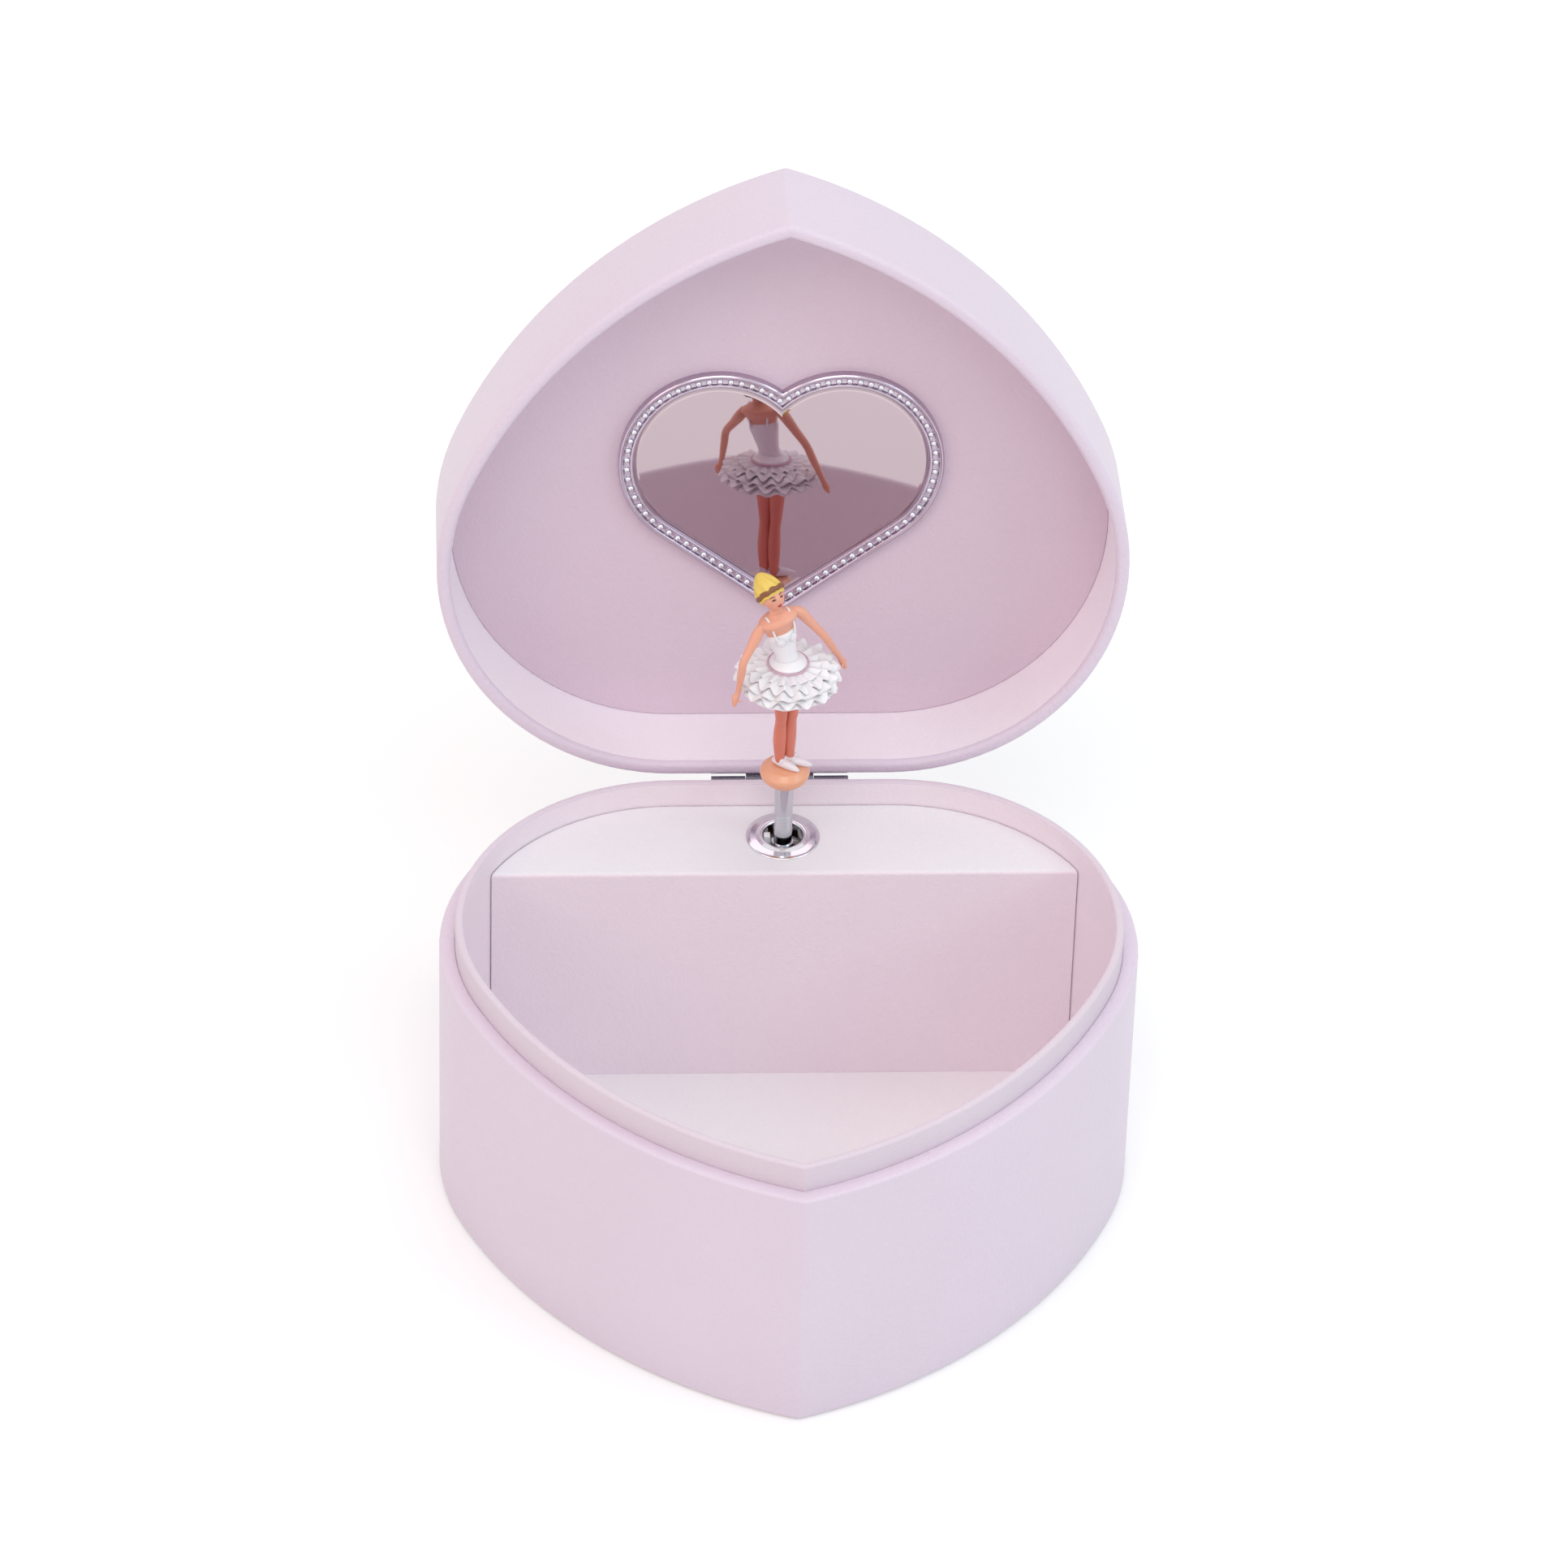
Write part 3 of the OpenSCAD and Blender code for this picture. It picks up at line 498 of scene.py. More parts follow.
# The legs: the arms' skin colour made darker and redder, painted shade for how the legs look in shadow
shaded_leg_plastic = finish("shaded_leg_plastic", (230, 140, 116), (222, 124, 104), 200, 0.36, 0.05, noise_height=0.003,
                     Subsurface_Weight=0.1, Subsurface_Scale=0.0008)
white_plastic = finish("white_plastic", (246, 244, 247), (240, 237, 242), 160, 0.3, 0.05, noise_height=0.003,
                       Coat_Weight=0.3, Subsurface_Weight=0.3, Subsurface_Scale=0.001,
                       Subsurface_Radius=(1, 1, 1))
satin = finish("satin_plastic", (244, 238, 242), (238, 226, 232), 200, 0.22, 0.05, noise_height=0.002,
               Coat_Weight=0.5)
hair_paint = finish("hair_paint", (150, 98, 60), (122, 74, 46), 900, 0.45, 0.08, noise_height=0.03)
gold_paint = finish("gold_paint", (238, 208, 104), (228, 190, 82), 500, 0.34, 0.08, noise_height=0.02)
red_paint = finish("red_paint", (196, 52, 60), (180, 42, 52), 500, 0.35)
dark_paint = finish("dark_paint", (54, 40, 40), (40, 30, 32), 500, 0.35)
pink_paint = finish("pink_paint", (226, 178, 196), (218, 166, 186), 500, 0.4)


# ---------------- case

def case_shell():
    """The wrapped outer wall."""
    profile = rounded([(0, BASE, 0.5), (0, WALL_TOP, 0.7), (WALL, WALL_TOP, 0.35), (WALL, BASE, 0)])
    stands_for(build("case_shell", swept(profile, closed=True), leatherette), "leatherette", "case_wall")


def collar_liner():
    """The collar inside the wall. Its inner side takes the same paper as the cover's front."""
    profile = rounded([(WALL, FLOOR, 0), (WALL, COLLAR_TOP, 0.6),
                       (INNER, COLLAR_TOP, 0.6), (INNER, FLOOR, 0)])
    piece = build("collar_liner", swept(profile, closed=True), collar_paper)
    middle = (cover_low + cover_high) / 2 * MM
    second_material(piece, divider_paper,
                    lambda face: abs(face.normal.z) < 0.5 and face.normal.dot(face.center - middle) < 0)
    stands_for(piece, "lining", "inner_collar")


COVER_GAP = 0.3
COVER_HOLE = 5.4
# Cutting tools reach this far past what they cut
TOOL_PAST = 5


def movement_cover():
    """One board folded over the movement, with a gap all round and a hole for the eyelet."""
    front, back, far = cover_low.y, LOBE, wall_high.x
    inner_front = front + (panel_high.y - panel_low.y)
    foot = FLOOR + 0.02
    section = rounded([(back, COVER_TOP, 0), (front, COVER_TOP, 0.9), (front, foot, 0),
                       (inner_front, foot, 0), (inner_front, cover_low.z, 0),
                       (back, cover_low.z, 0)], steps=5)
    loops = [[(x, y, z) for y, z in section] for x in spaced(-far, far, steps=12)]
    piece = build("movement_cover", skin(loops), lining)
    edge = INNER + COVER_GAP
    inside = build("inside", swept([(edge, FLOOR - TOOL_PAST), (edge, COLLAR_TOP + TOOL_PAST)]), lining)
    cut(piece, inside, "INTERSECT")
    bore = lathe([(COVER_HOLE, FLOOR), (COVER_HOLE, COLLAR_TOP + TOOL_PAST)], (0, AXIS.y, 0), around=48)
    cut(piece, build("hole", bore, lining))
    second_material(piece, divider_paper, lambda face: face.normal.y < -0.7)
    stands_for(piece, "lining", "cover_top", "cover_front")


def eyelet():
    """The grommet: a rounded rim, a flange on the cover and a sleeve through its hole."""
    out, top, foot = (grommet_high.x - grommet_low.x) / 2, grommet_high.z, COVER_TOP + 0.01
    bore = 4.4
    sleeve = bore + 0.5
    profile = rounded([(bore, grommet_low.z, 0), (bore, top - 0.1, 0.5), (bore + 0.75, top, 0.35),
                       (bore + 1.5, top - 0.45, 0.3), (out - 0.9, COVER_TOP + 0.42, 0.3),
                       (out, COVER_TOP + 0.3, 0.25), (out, foot, 0), (sleeve, foot, 0),
                       (sleeve, grommet_low.z, 0)])
    shape = lathe(profile, (0, AXIS.y, 0), around=72, closed=True)
    stands_for(build("eyelet", shape, chrome), "grommet", "grommet")


# Radii of the key's loops and their holes, and half the loops' thickness
KEY_LOOP = 6.0
KEY_HOLE = 2.4
KEY_HALF = 0.9
# How far the web's two edges lie from the loops' outer end
KEY_WEB = (11.6, 3.6)
KEY_WEB_ROUND = 1.4
# The web's rounded edge, as (inset, height)
KEY_WEB_EDGE = ((0.8, -0.88), (0.3, -0.72), (0, -0.35), (0, 0.35), (0.3, 0.72), (0.8, 0.88))
# (radius, place along the barrel, rounding)
KEY_BARREL = ((1.3, 0, 0), (2.8, 0, 0.4), (2.8, 2.2, 0.3), (2.4, 2.7, 0.3), (2.8, 3.2, 0.3),
              (2.8, 9, 0.9), (0.6, 9, 0))


def winding_key():
    """A butterfly key: two rounded loops joined by a web, on a turned barrel."""
    low, high = box("winding_key")
    middle = (low + high) / 2
    reach = high.x - middle.x - KEY_LOOP
    ring = rounded([(KEY_HOLE, -KEY_HALF, 0.45), (KEY_LOOP, -KEY_HALF, 0.6),
                    (KEY_LOOP, KEY_HALF, 0.6), (KEY_HOLE, KEY_HALF, 0.45)])
    parts = [lathe(ring, (middle.x + side * reach, high.y - KEY_LOOP, middle.z), around=48, closed=True)
             for side in (-1, 1)]
    near, far = (high.y - away for away in KEY_WEB)
    edges = []
    for inset, up in KEY_WEB_EDGE:
        wide, first, last = reach - inset, near + inset, far - inset
        corners = rounded([(x, y, KEY_WEB_ROUND)
                           for x, y in ((-wide, first), (wide, first), (wide, last), (-wide, last))])
        edges.append([(middle.x + x, y, middle.z + up) for x, y in corners])
    parts.append(skin(edges))

    def on_barrel(p):
        return Vector((middle.x + p.x, low.y + p.z, middle.z + p.y))

    parts.append(moved(lathe(rounded(KEY_BARREL, closed=False), around=40), on_barrel))
    stands_for(build("butterfly_key", joined(*parts), brass, CAST_EDGE), "brass", "winding_key")


# ---------------- lid

# Flat caps close the lid's shapes this far in from their edges
LID_CAP = 14
PANEL_CAP = 22
LID_RIM_ROUND = 1.2
LID_TOP_ROUND = 1.6


def lid_shell():
    """The wrapped lid: a soft rim, a rounded top edge and a closed underside above the panel."""
    bottom, top, under = lid_low.z, lid_high.z, lining_high.z
    profile = rounded([(LID_WALL + LID_CAP, under, 0), (LID_WALL, under, 0),
                       (LID_WALL, bottom, LID_RIM_ROUND), (0, bottom, LID_RIM_ROUND),
                       (0, top, LID_TOP_ROUND), (LID_CAP, top, 0)], closed=False, steps=5)
    shape = moved(swept(profile), opened)
    stands_for(build("lid_shell", shape, leatherette), "leatherette", "lid_wall", "lid_top")


def lid_wall_lit_sheet():
    """A sheet on the inside of the lid's wall, from just past the rim to just behind the panel's face. Its
    near-white colour is painted light: the lid's fabric lightened where light falls on this wall.
    """
    low, high = lid_low.z + 1.6, lining_low.z + 0.2
    sunk, shown = LID_WALL - 0.05, LID_WALL + 0.08
    profile = [(sunk, low), (shown, low), (shown, high), (sunk, high)]
    piece = build("lid_wall_lit_sheet", moved(swept(profile, closed=True), opened), lid_wall_lit_paper)
    goes_with(piece, "lid_wall")


def lid_panel():
    """The cloth-covered board inside the lid."""
    low, high = lining_low.z, lining_high.z
    edge = LID_WALL + 0.03
    profile = rounded([(PANEL_CAP, low, 0), (edge, low, 0.45), (edge, high, 0), (PANEL_CAP, high, 0)],
                      closed=False)
    stands_for(build("lid_panel", moved(swept(profile), opened), panel_cloth), "panel", "lid_lining")


def mirror_frame():
    """A cast frame: an outer ridge, a channel for the beading and a thin inner ridge."""
    base, ridge = lining_low.z, heart_low.z
    channel = base - 1.0
    profile = rounded([(0, base, 0), (0, ridge + 0.35, 0.3), (0.45, ridge, 0.3), (1.0, ridge + 0.25, 0.25),
                       (1.25, channel, 0.15), (2.45, channel, 0.15), (2.65, ridge + 0.5, 0.2),
                       (3.05, ridge + 0.35, 0.2), (FRAME_WIDTH, channel, 0.1), (FRAME_WIDTH, base, 0)])
    shape = moved(swept(profile, heart, closed=True), opened)
    stands_for(build("mirror_surround", shape, frame_metal_and_shade, CAST_EDGE), "chrome", "mirror_frame")


CHANNEL_MIDDLE = 1.85
BEAD_SPACING = 2.35
BEAD_RISE = 1.05
BEAD_SIZE = (0.78, 0.78, 0.85)


def mirror_beading():
    """Small round beads in the frame's channel, evenly spaced."""
    outline = [Vector(p) for p in heart(CHANNEL_MIDDLE)]
    lengths = [(outline[k - 1] - outline[k]).length for k in range(len(outline))]
    total = sum(lengths)
    count = round(total / BEAD_SPACING)
    beads = []
    for number in range(count):
        along = total * (number + 0.5) / count
        k = 0
        while along > lengths[k]:
            along -= lengths[k]
            k += 1
        spot = outline[k - 1].lerp(outline[k], along / lengths[k])
        beads.append(blob((spot.x, spot.y, lining_low.z - BEAD_RISE), BEAD_SIZE, around=12, rows=8))
    piece = build("mirror_beading", moved(joined(*beads), opened), chrome, ROUND_EDGE)
    goes_with(piece, "mirror_frame")


def mirror_pane():
    """The glass, with a narrow bevel."""
    front, edge = lining_low.z - 1.2, FRAME_WIDTH - 0.02
    profile = [(edge, lining_low.z), (edge, front + 0.35),
               (FRAME_WIDTH + 0.5, front + 0.05), (FRAME_WIDTH + 0.9, front)]
    shape = moved(swept(profile, heart), opened)
    stands_for(build("mirror_pane", shape, mirror, sharp=3), "mirror", "mirror_glass")


# ---------------- dancer

# Heights of the torso's parts are from the waist. The torso leans to the side by LEAN
FIGURE_TURN = math.radians(28)
LEAN = math.radians(12)
bead_low, bead_high = box("figure_bead")
FOOT = bead_high.z
HIP = box("legs")[1].z + 1.2
WAIST = HIP + 3
TORSO = 13.2
SHOULDER = TORSO - 1
CHEST = TORSO - 4


def facing(point):
    """A point drawn facing the front, turned to where the dancer looks. Heights are from the ground."""
    p = Matrix.Rotation(FIGURE_TURN, 3, "Z") @ Vector(point)
    return Vector((p.x, p.y + AXIS.y, p.z))


def leaning(point):
    """A point of the torso, which leans to the side from the waist."""
    p = Matrix.Rotation(FIGURE_TURN, 3, "Z") @ Vector(point)
    p = Matrix.Rotation(-LEAN, 3, "Y") @ p
    return Vector((p.x, p.y + AXIS.y, p.z + WAIST))


def bead():
    """The bead under the feet. It runs down a little way over the post."""
    radius, tall = (bead_high.x - bead_low.x) / 2, bead_high.z - bead_low.z
    down = 1.3
    profile = rounded([(1.9, -down, 0), (radius * 0.5, -down, 0.6), (radius * 0.92, tall * 0.2, 1.8),
                       (radius + 0.1, tall * 0.62, 1.2), (radius * 0.72, tall - 0.05, 1.0), (1.2, tall, 0)],
                      closed=False, steps=7)
    shape = lathe(profile, (0, AXIS.y, bead_low.z), around=48)
    stands_for(build("dancer_bead", shape, bead_plastic, ROUND_EDGE), "bead", "figure_bead")


FEET_TURN = math.radians(38)
FOOT_SPREAD = math.radians(9)


def slippers():
    """Each slipper has a cuff, and a bow with two loops."""
    parts = []
    for side in (-1, 1):
        turn = Matrix.Rotation(FEET_TURN + side * FOOT_SPREAD, 3, "Z")
        heel = Vector((side * 1.15, 0.1 - side * 0.25, FOOT))
        foot = tube([(0, 1.1, 1.0, 0.8), (0, 0.2, 1.15, 1.1), (0, -1.6, 0.95, 1.08), (0, -3.2, 0.7, 0.86),
                     (0, -4.4, 0.5, 0.5)], around=16, steps=5, first_side=UP)
        cuff = tube([(0.75 * math.cos(a), 0.35 + 0.9 * math.sin(a), 1.85 + 0.25 * math.sin(a), 0.26)
                     for a in spaced(0, math.tau, steps=10)], around=8, steps=2, first_side=UP)
        bow = [tube([(0, -1.0, 1.9, 0.28), (way * 0.8, -0.9, 2.15, 0.4), (way * 1.2, -0.8, 1.85, 0.22)],
                    around=8, steps=3) for way in (-1, 1)]
        for part in (foot, cuff, *bow):
            parts.append(moved(part, lambda p, t=turn, h=heel: facing(t @ p + h)))
    stands_for(build("dancer_slippers", joined(*parts), satin, SOFT_EDGE), "white", "slippers")


def legs():
    """Each leg runs through its ankle, calf, knee, lower thigh, thigh and hip."""
    tall = HIP - FOOT
    parts = []
    for side in (-1, 1):
        leg = tube([(side * 1.2, 0.3, FOOT + 1.4, 1.02), (side * 1.25, 0.5, FOOT + tall * 0.28, 1.45),
                    (side * 1.28, 0.15, FOOT + tall * 0.48, 1.25),
                    (side * 1.36, -0.1, FOOT + tall * 0.56, 1.35),
                    (side * 1.58, 0.0, FOOT + tall * 0.8, 1.85), (side * 1.65, 0.1, HIP - 0.4, 1.95)],
                   around=16, steps=5)
        parts.append(moved(leg, facing))
    # The legs take the skin colour darkened and reddened as painted shade
    stands_for(build("dancer_legs", joined(*parts), shaded_leg_plastic, SOFT_EDGE), "skin", "legs")


TUTU_FOLDS = 17
tutu_low, tutu_high = box("tutu_skirt")
TUTU = (tutu_high.x - tutu_low.x) / 2
# Each layer's share of the radius, height over the hip, fall, lift of its flutes and turn
TUTU_LAYERS = ((0.95, 0.3, 1.9, 1.0, 0.1), (0.99, 1.0, 1.4, -1.2, 0.25), (0.93, 1.6, 0.9, 1.2, 0.0),
               (0.8, 2.1, 0.5, -1.1, 0.16), (0.62, 2.5, 0.3, 0.8, 0.05))
BASQUE = 4.4


def frill(radius, height, fall, lift, turn):
    """One layer of the skirt. It falls away from the waist in soft flutes with scalloped ends."""
    inner, thick = 2.2, 0.26
    around, rows = TUTU_FOLDS * 12, 12
    loops = []
    for under in (0, 1):
        order = range(rows, -1, -1) if under else range(rows + 1)
        for row in order:
            t = row / rows
            ring = []
            for a in round_turn(around):
                phase = TUTU_FOLDS * (a + turn)
                flute = math.cos(phase) + 0.22 * math.sin(3 * a + turn)
                scallop = 0.5 + 0.5 * math.cos(phase)
                r = inner + (radius * (0.91 + 0.09 * scallop ** 0.7) - inner) * t
                r *= 1 + 0.012 * math.sin(5 * a + 9 * turn)
                z = height - fall * t ** 2.4 + lift * 0.5 * flute * t ** 1.4 - under * thick
                ring.append((r * math.cos(a), r * math.sin(a), z))
            loops.append(ring)
    return skin(loops, closed=True)


def tutu():
    """The skirt's layers and the smooth basque over them, with a hem round the basque."""
    parts = [frill(TUTU * share, HIP + up, fall, lift, turn) for share, up, fall, lift, turn in TUTU_LAYERS]
    dome = rounded([(1.5, 4.3, 0), (2.6, 4.2, 0.5), (3.6, 3.6, 1.2), (BASQUE, 2.9, 0.4), (3.6, 2.5, 0)],
                   closed=False)
    parts.append(lathe([(r, z + HIP) for r, z in dome], around=60))
    piece = build("dancer_tutu", joined(*(moved(p, facing) for p in parts)), white_plastic, ROUND_EDGE)
    stands_for(piece, "white", "tutu_skirt")
    edge = BASQUE + 0.05
    hem = tube([(edge * math.cos(a), edge * math.sin(a), HIP + 2.85, 0.15)
                for a in spaced(0, math.tau, steps=40)], around=8, steps=1, first_side=UP)
    goes_with(build("dancer_basque_hem", moved(hem, facing), pink_paint, SOFT_EDGE), "tutu_skirt")


def bodice():
    """The trunk, its two cups and the straps over the shoulders."""

    def basque(point):
        """Flattens the trunk front to back, and draws its lower edge down to a point in front."""
        drop = max(0.0, -point.y) * 0.35 if point.z < 2 else 0
        return leaning((point.x, point.y * 0.8, point.z - drop))

    profile = smooth_profile([(1.2, 0.2), (2.7, 0.3), (2.55, 1.4), (2.45, 2.4), (2.7, 4.2),
                              (3.2, CHEST - 2.6), (3.45, CHEST - 1.4), (3.35, CHEST - 0.5), (3.0, CHEST),
                              (1.6, CHEST + 0.05)])
    trunk = moved(lathe(profile, around=36), basque)
    cups = [moved(blob((side * 1.25, -1.75, CHEST - 1.7), (1.35, 1.15, 1.35), around=16, rows=12), leaning)
            for side in (-1, 1)]
    straps = []
    for side in (-1, 1):
        strap = tube([(side * 2.2, -2.2, CHEST - 0.9, 0.26), (side * 2.5, -2.15, CHEST + 1, 0.24),
                      (side * 2.6, -1.1, TORSO - 0.1, 0.24), (side * 2.5, 0.4, TORSO + 0.1, 0.24),
                      (side * 2.3, 1.9, CHEST + 1.2, 0.24), (side * 2.0, 2.3, CHEST - 0.6, 0.26)],
                     around=8, steps=5)
        straps.append(moved(strap, leaning))
    piece = build("dancer_bodice", joined(trunk, *cups, *straps), white_plastic, SOFT_EDGE)
    stands_for(piece, "white", "bodice")


def shoulders():
    """Chest, shoulders and neck in one. The neck is the rounder part."""
    profile = smooth_profile([(1.4, CHEST - 1.2), (3.0, CHEST - 0.9), (3.5, CHEST + 0.6), (4.1, CHEST + 2),
                              (4.7, SHOULDER - 0.2), (3.9, TORSO - 0.3), (2.4, TORSO + 0.3),
                              (1.5, TORSO + 0.9), (1.25, TORSO + 1.9), (1.3, TORSO + 3.2),
                              (0.6, TORSO + 3.6)])

    def flattened(p):
        return leaning((p.x, p.y * (0.66 if p.z < TORSO + 0.8 else 0.9), p.z))

    shape = moved(lathe(profile, around=32), flattened)
    stands_for(build("dancer_shoulders", shape, skin_plastic, SOFT_EDGE), "skin", "shoulders")


# How far the fingertips reach to each side
REACH = 13.75


def arms():
    """Both arms with their hands and thumbs. Elbows and hands don't lean with the torso."""
    parts = []
    for side in (-1, 1):
        top = leaning((side * 4.3, 0, SHOULDER - 0.5))
        low = leaning((side * 5.5, 0, SHOULDER - 1.7))
        elbow = facing((side * 9.9 - 1.5, -0.5, WAIST + 4.4))
        wrist = facing((side * (REACH - 1.2), -0.5, WAIST - 3))
        palm = facing((side * (REACH - 0.4), -0.6, WAIST - 4.6))
        tips = facing((side * (REACH), -1.1, WAIST - 5.9))
        parts.append(tube([(*top, 1.05), (*low, 1.25), (*(low.lerp(elbow, 0.5)), 1.0), (*elbow, 0.88),
                           (*(elbow.lerp(wrist, 0.4)), 0.86), (*wrist, 0.6), (*palm, 0.8), (*tips, 0.42)],
                          around=14, steps=5))
        thumb = facing((side * (REACH - 1.1), -1.6, WAIST - 5.0))
        parts.append(tube([(*palm, 0.32), (*(palm.lerp(thumb, 0.6)), 0.28), (*thumb, 0.22)],
                          around=8, steps=3))
    stands_for(build("dancer_arms", joined(*parts), skin_plastic, SOFT_EDGE), "skin", "arms")


HEAD = TORSO + 4.7
HEAD_TURN = Matrix.Rotation(math.radians(4), 3, "Z") @ Matrix.Rotation(math.radians(-20), 3, "X")
HEAD_SIZE = Vector((2.5, 2.7, 3.15))
UPDO_TILT = Matrix.Rotation(math.radians(-27), 3, "X")
UPDO_MIDDLE = Vector((0, 0.35, 0.75))


def on_head(point):
    """A point drawn about the middle of the head, which looks the dancer's way."""
    return leaning(HEAD_TURN @ Vector(point) + Vector((0, 0, HEAD)))


def on_updo(point):
    """A point drawn about the hairline's ring, which tilts back."""
    return on_head(UPDO_TILT @ Vector(point) + UPDO_MIDDLE)


JAW_NARROWS = 0.34
JAW_RECEDES = 0.1


def below_jaw(z):
    """How far z lies below the top of the jaw, on a head of half height 1."""
    return max(0.0, -0.1 - z)


def swell(x, z, wide, tall):
    """1 at (0, 0), and falls off smoothly over wide and tall."""
    return math.exp(-((x / wide) ** 2) - (z / tall) ** 2)


def head():
    """The skull and ears."""

    def face(p):
        """Narrows the jaw, draws out the nose and chin, and presses in the eye sockets."""
        q = p.copy()
        low = below_jaw(p.z)
        q.x *= 1 - JAW_NARROWS * low
        q.y *= 1 - JAW_RECEDES * low
        front = max(0.0, -p.y)
        q.y -= 0.17 * front * swell(p.x, p.z + 0.16, 0.13, 0.17)
        q.y += 0.05 * front * swell(abs(p.x) - 0.36, p.z - 0.05, 0.16, 0.12)
        q.y -= 0.06 * front * swell(p.x, p.z + 0.8, 0.2, 0.12)
        return q

    skull = moved(blob((0, 0, 0), HEAD_SIZE, around=44, rows=34, shape=face), on_head)
    ears = [moved(blob((side * 2.4, 0.35, -0.3), (0.3, 0.45, 0.7), around=12, rows=10), on_head)
            for side in (-1, 1)]
    piece = build("dancer_head", joined(skull, *ears), skin_plastic, SOFT_EDGE)
    stands_for(piece, "skin", "head")


def face_paint():
    """Lips, eyes and brows: thin strands that lie partly in the skin."""

    def on_face(x, z, sink):
        """A place on the front of the head, sunk below the skin."""
        low = below_jaw(z / HEAD_SIZE.z)
        deep, wide = 1 - JAW_RECEDES * low, 1 - JAW_NARROWS * low
        y = HEAD_SIZE.y * math.sqrt(max(0, 1 - (x / HEAD_SIZE.x / wide) ** 2 - (z / HEAD_SIZE.z) ** 2))
        return (x, sink - y * deep, z)

    lips = [tube([(*on_face(-0.6, -1.62, 0.1), 0.1), (*on_face(0, -1.6, -0.02), 0.2),
                  (*on_face(0.6, -1.62, 0.1), 0.1)], around=8, steps=4),
            tube([(*on_face(-0.4, -1.86, 0.06), 0.1), (*on_face(0, -1.92, -0.02), 0.18),
                  (*on_face(0.4, -1.86, 0.06), 0.1)], around=8, steps=4)]
    goes_with(build("dancer_lips", moved(joined(*lips), on_head), red_paint, SOFT_EDGE), "head")
    parts = []
    for side in (-1, 1):
        parts.append(tube([(*on_face(side * 0.55, 0.0, 0.05), 0.08), (*on_face(side * 0.95, 0.1, 0.0), 0.19),
                           (*on_face(side * 1.4, 0.0, 0.05), 0.08)], around=8, steps=4))
        parts.append(tube([(*on_face(side * 0.5, 0.62, 0.04), 0.07), (*on_face(side * 1.0, 0.8, 0.0), 0.1),
                           (*on_face(side * 1.6, 0.6, 0.03), 0.06)], around=6, steps=4))
    goes_with(build("dancer_eyes", moved(joined(*parts), on_head), dark_paint, SOFT_EDGE), "head")


def hair_roll(radius, height, thick, waves):
    """A rolled strand round the hairline."""
    ripple = 0.12
    return tube([(radius * math.cos(a), radius * math.sin(a), height + ripple * math.sin(waves * a),
                  thick * (1 + ripple * math.sin(2 * waves * a)))
                 for a in spaced(0, math.tau, steps=36)], around=10, steps=2, first_side=UP)


def hair():
    """The brown hair under the updo, and the band round the hairline."""

    def cap(p):
        """Combs ridges into the hair and ends it at a hairline that drops towards the nape."""
        q = p.copy()
        wave = 1 + 0.025 * math.sin(26 * math.atan2(p.y, p.x))
        q.x *= wave
        q.y *= wave
        q.z = max(q.z, 0.5 - 1.1 * max(0.0, p.y + 0.35))
        return q

    shape = moved(blob((0, 0.2, 0.1), (2.72, 2.85, 3.2), around=52, rows=26, shape=cap), on_head)
    band = moved(hair_roll(2.78, 0.2, thick=0.62, waves=7), on_updo)
    stands_for(build("dancer_hair", joined(shape, band), hair_paint, SOFT_EDGE), "hair", "hair")


def updo():
    """The golden cap of hair: a fringe, and strands that wind up to a soft point."""
    strands, twist = 9, 1.1
    profile = smooth_profile([(1.2, 0.1), (2.9, 0.35), (3.05, 0.9), (2.95, 1.7), (2.55, 2.7), (2.0, 3.6),
                              (1.4, 4.35), (0.8, 4.9), (0.3, 5.15)], steps=4)
    loops = []
    for radius, z in profile:
        ring = []
        for a in round_turn(72):
            r = radius * (1 + 0.05 * math.sin(strands * a + twist * z))
            ring.append((r * math.cos(a), r * math.sin(a), z))
        loops.append(ring)
    fringe = hair_roll(2.62, -0.55, thick=0.42, waves=strands)
    shape = joined(moved(skin(loops), on_updo), moved(fringe, on_updo))
    stands_for(build("dancer_updo", shape, gold_paint, SOFT_EDGE), "hat", "hat")


SPRING_TURNS = 15
SPRING_BORE = 1.1


def bend_spring():
    """The post's close-wound spring, which in the real box lets the post fold forwards; here it is drawn as
    its rounded turns and rides on no body.
    """
    low, high = box("bend_spring")
    radius, tall = (high.x - low.x) / 2, high.z - low.z
    pitch = tall / SPRING_TURNS
    wire = pitch / 2
    profile = [(SPRING_BORE, 0)]
    for turn in range(SPRING_TURNS):
        profile += [(radius - wire + wire * math.cos(a), pitch * turn + wire + wire * math.sin(a))
                    for a in (-1.1, -0.55, 0, 0.55, 1.1)]
    profile.append((SPRING_BORE, tall))
    piece = build("bend_spring_coil", lathe(profile, (0, AXIS.y, low.z), around=40), post_steel, sharp=80)
    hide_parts("bend_spring")
    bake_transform(piece)


# ---------------- scene

case_shell()
collar_liner()
movement_cover()
eyelet()
winding_key()
lid_shell()
lid_wall_lit_sheet()
lid_panel()
mirror_frame()
mirror_beading()
mirror_pane()
bead()
slippers()
legs()
tutu()
bodice()
shoulders()
arms()
head()
face_paint()
hair()
updo()
bend_spring()

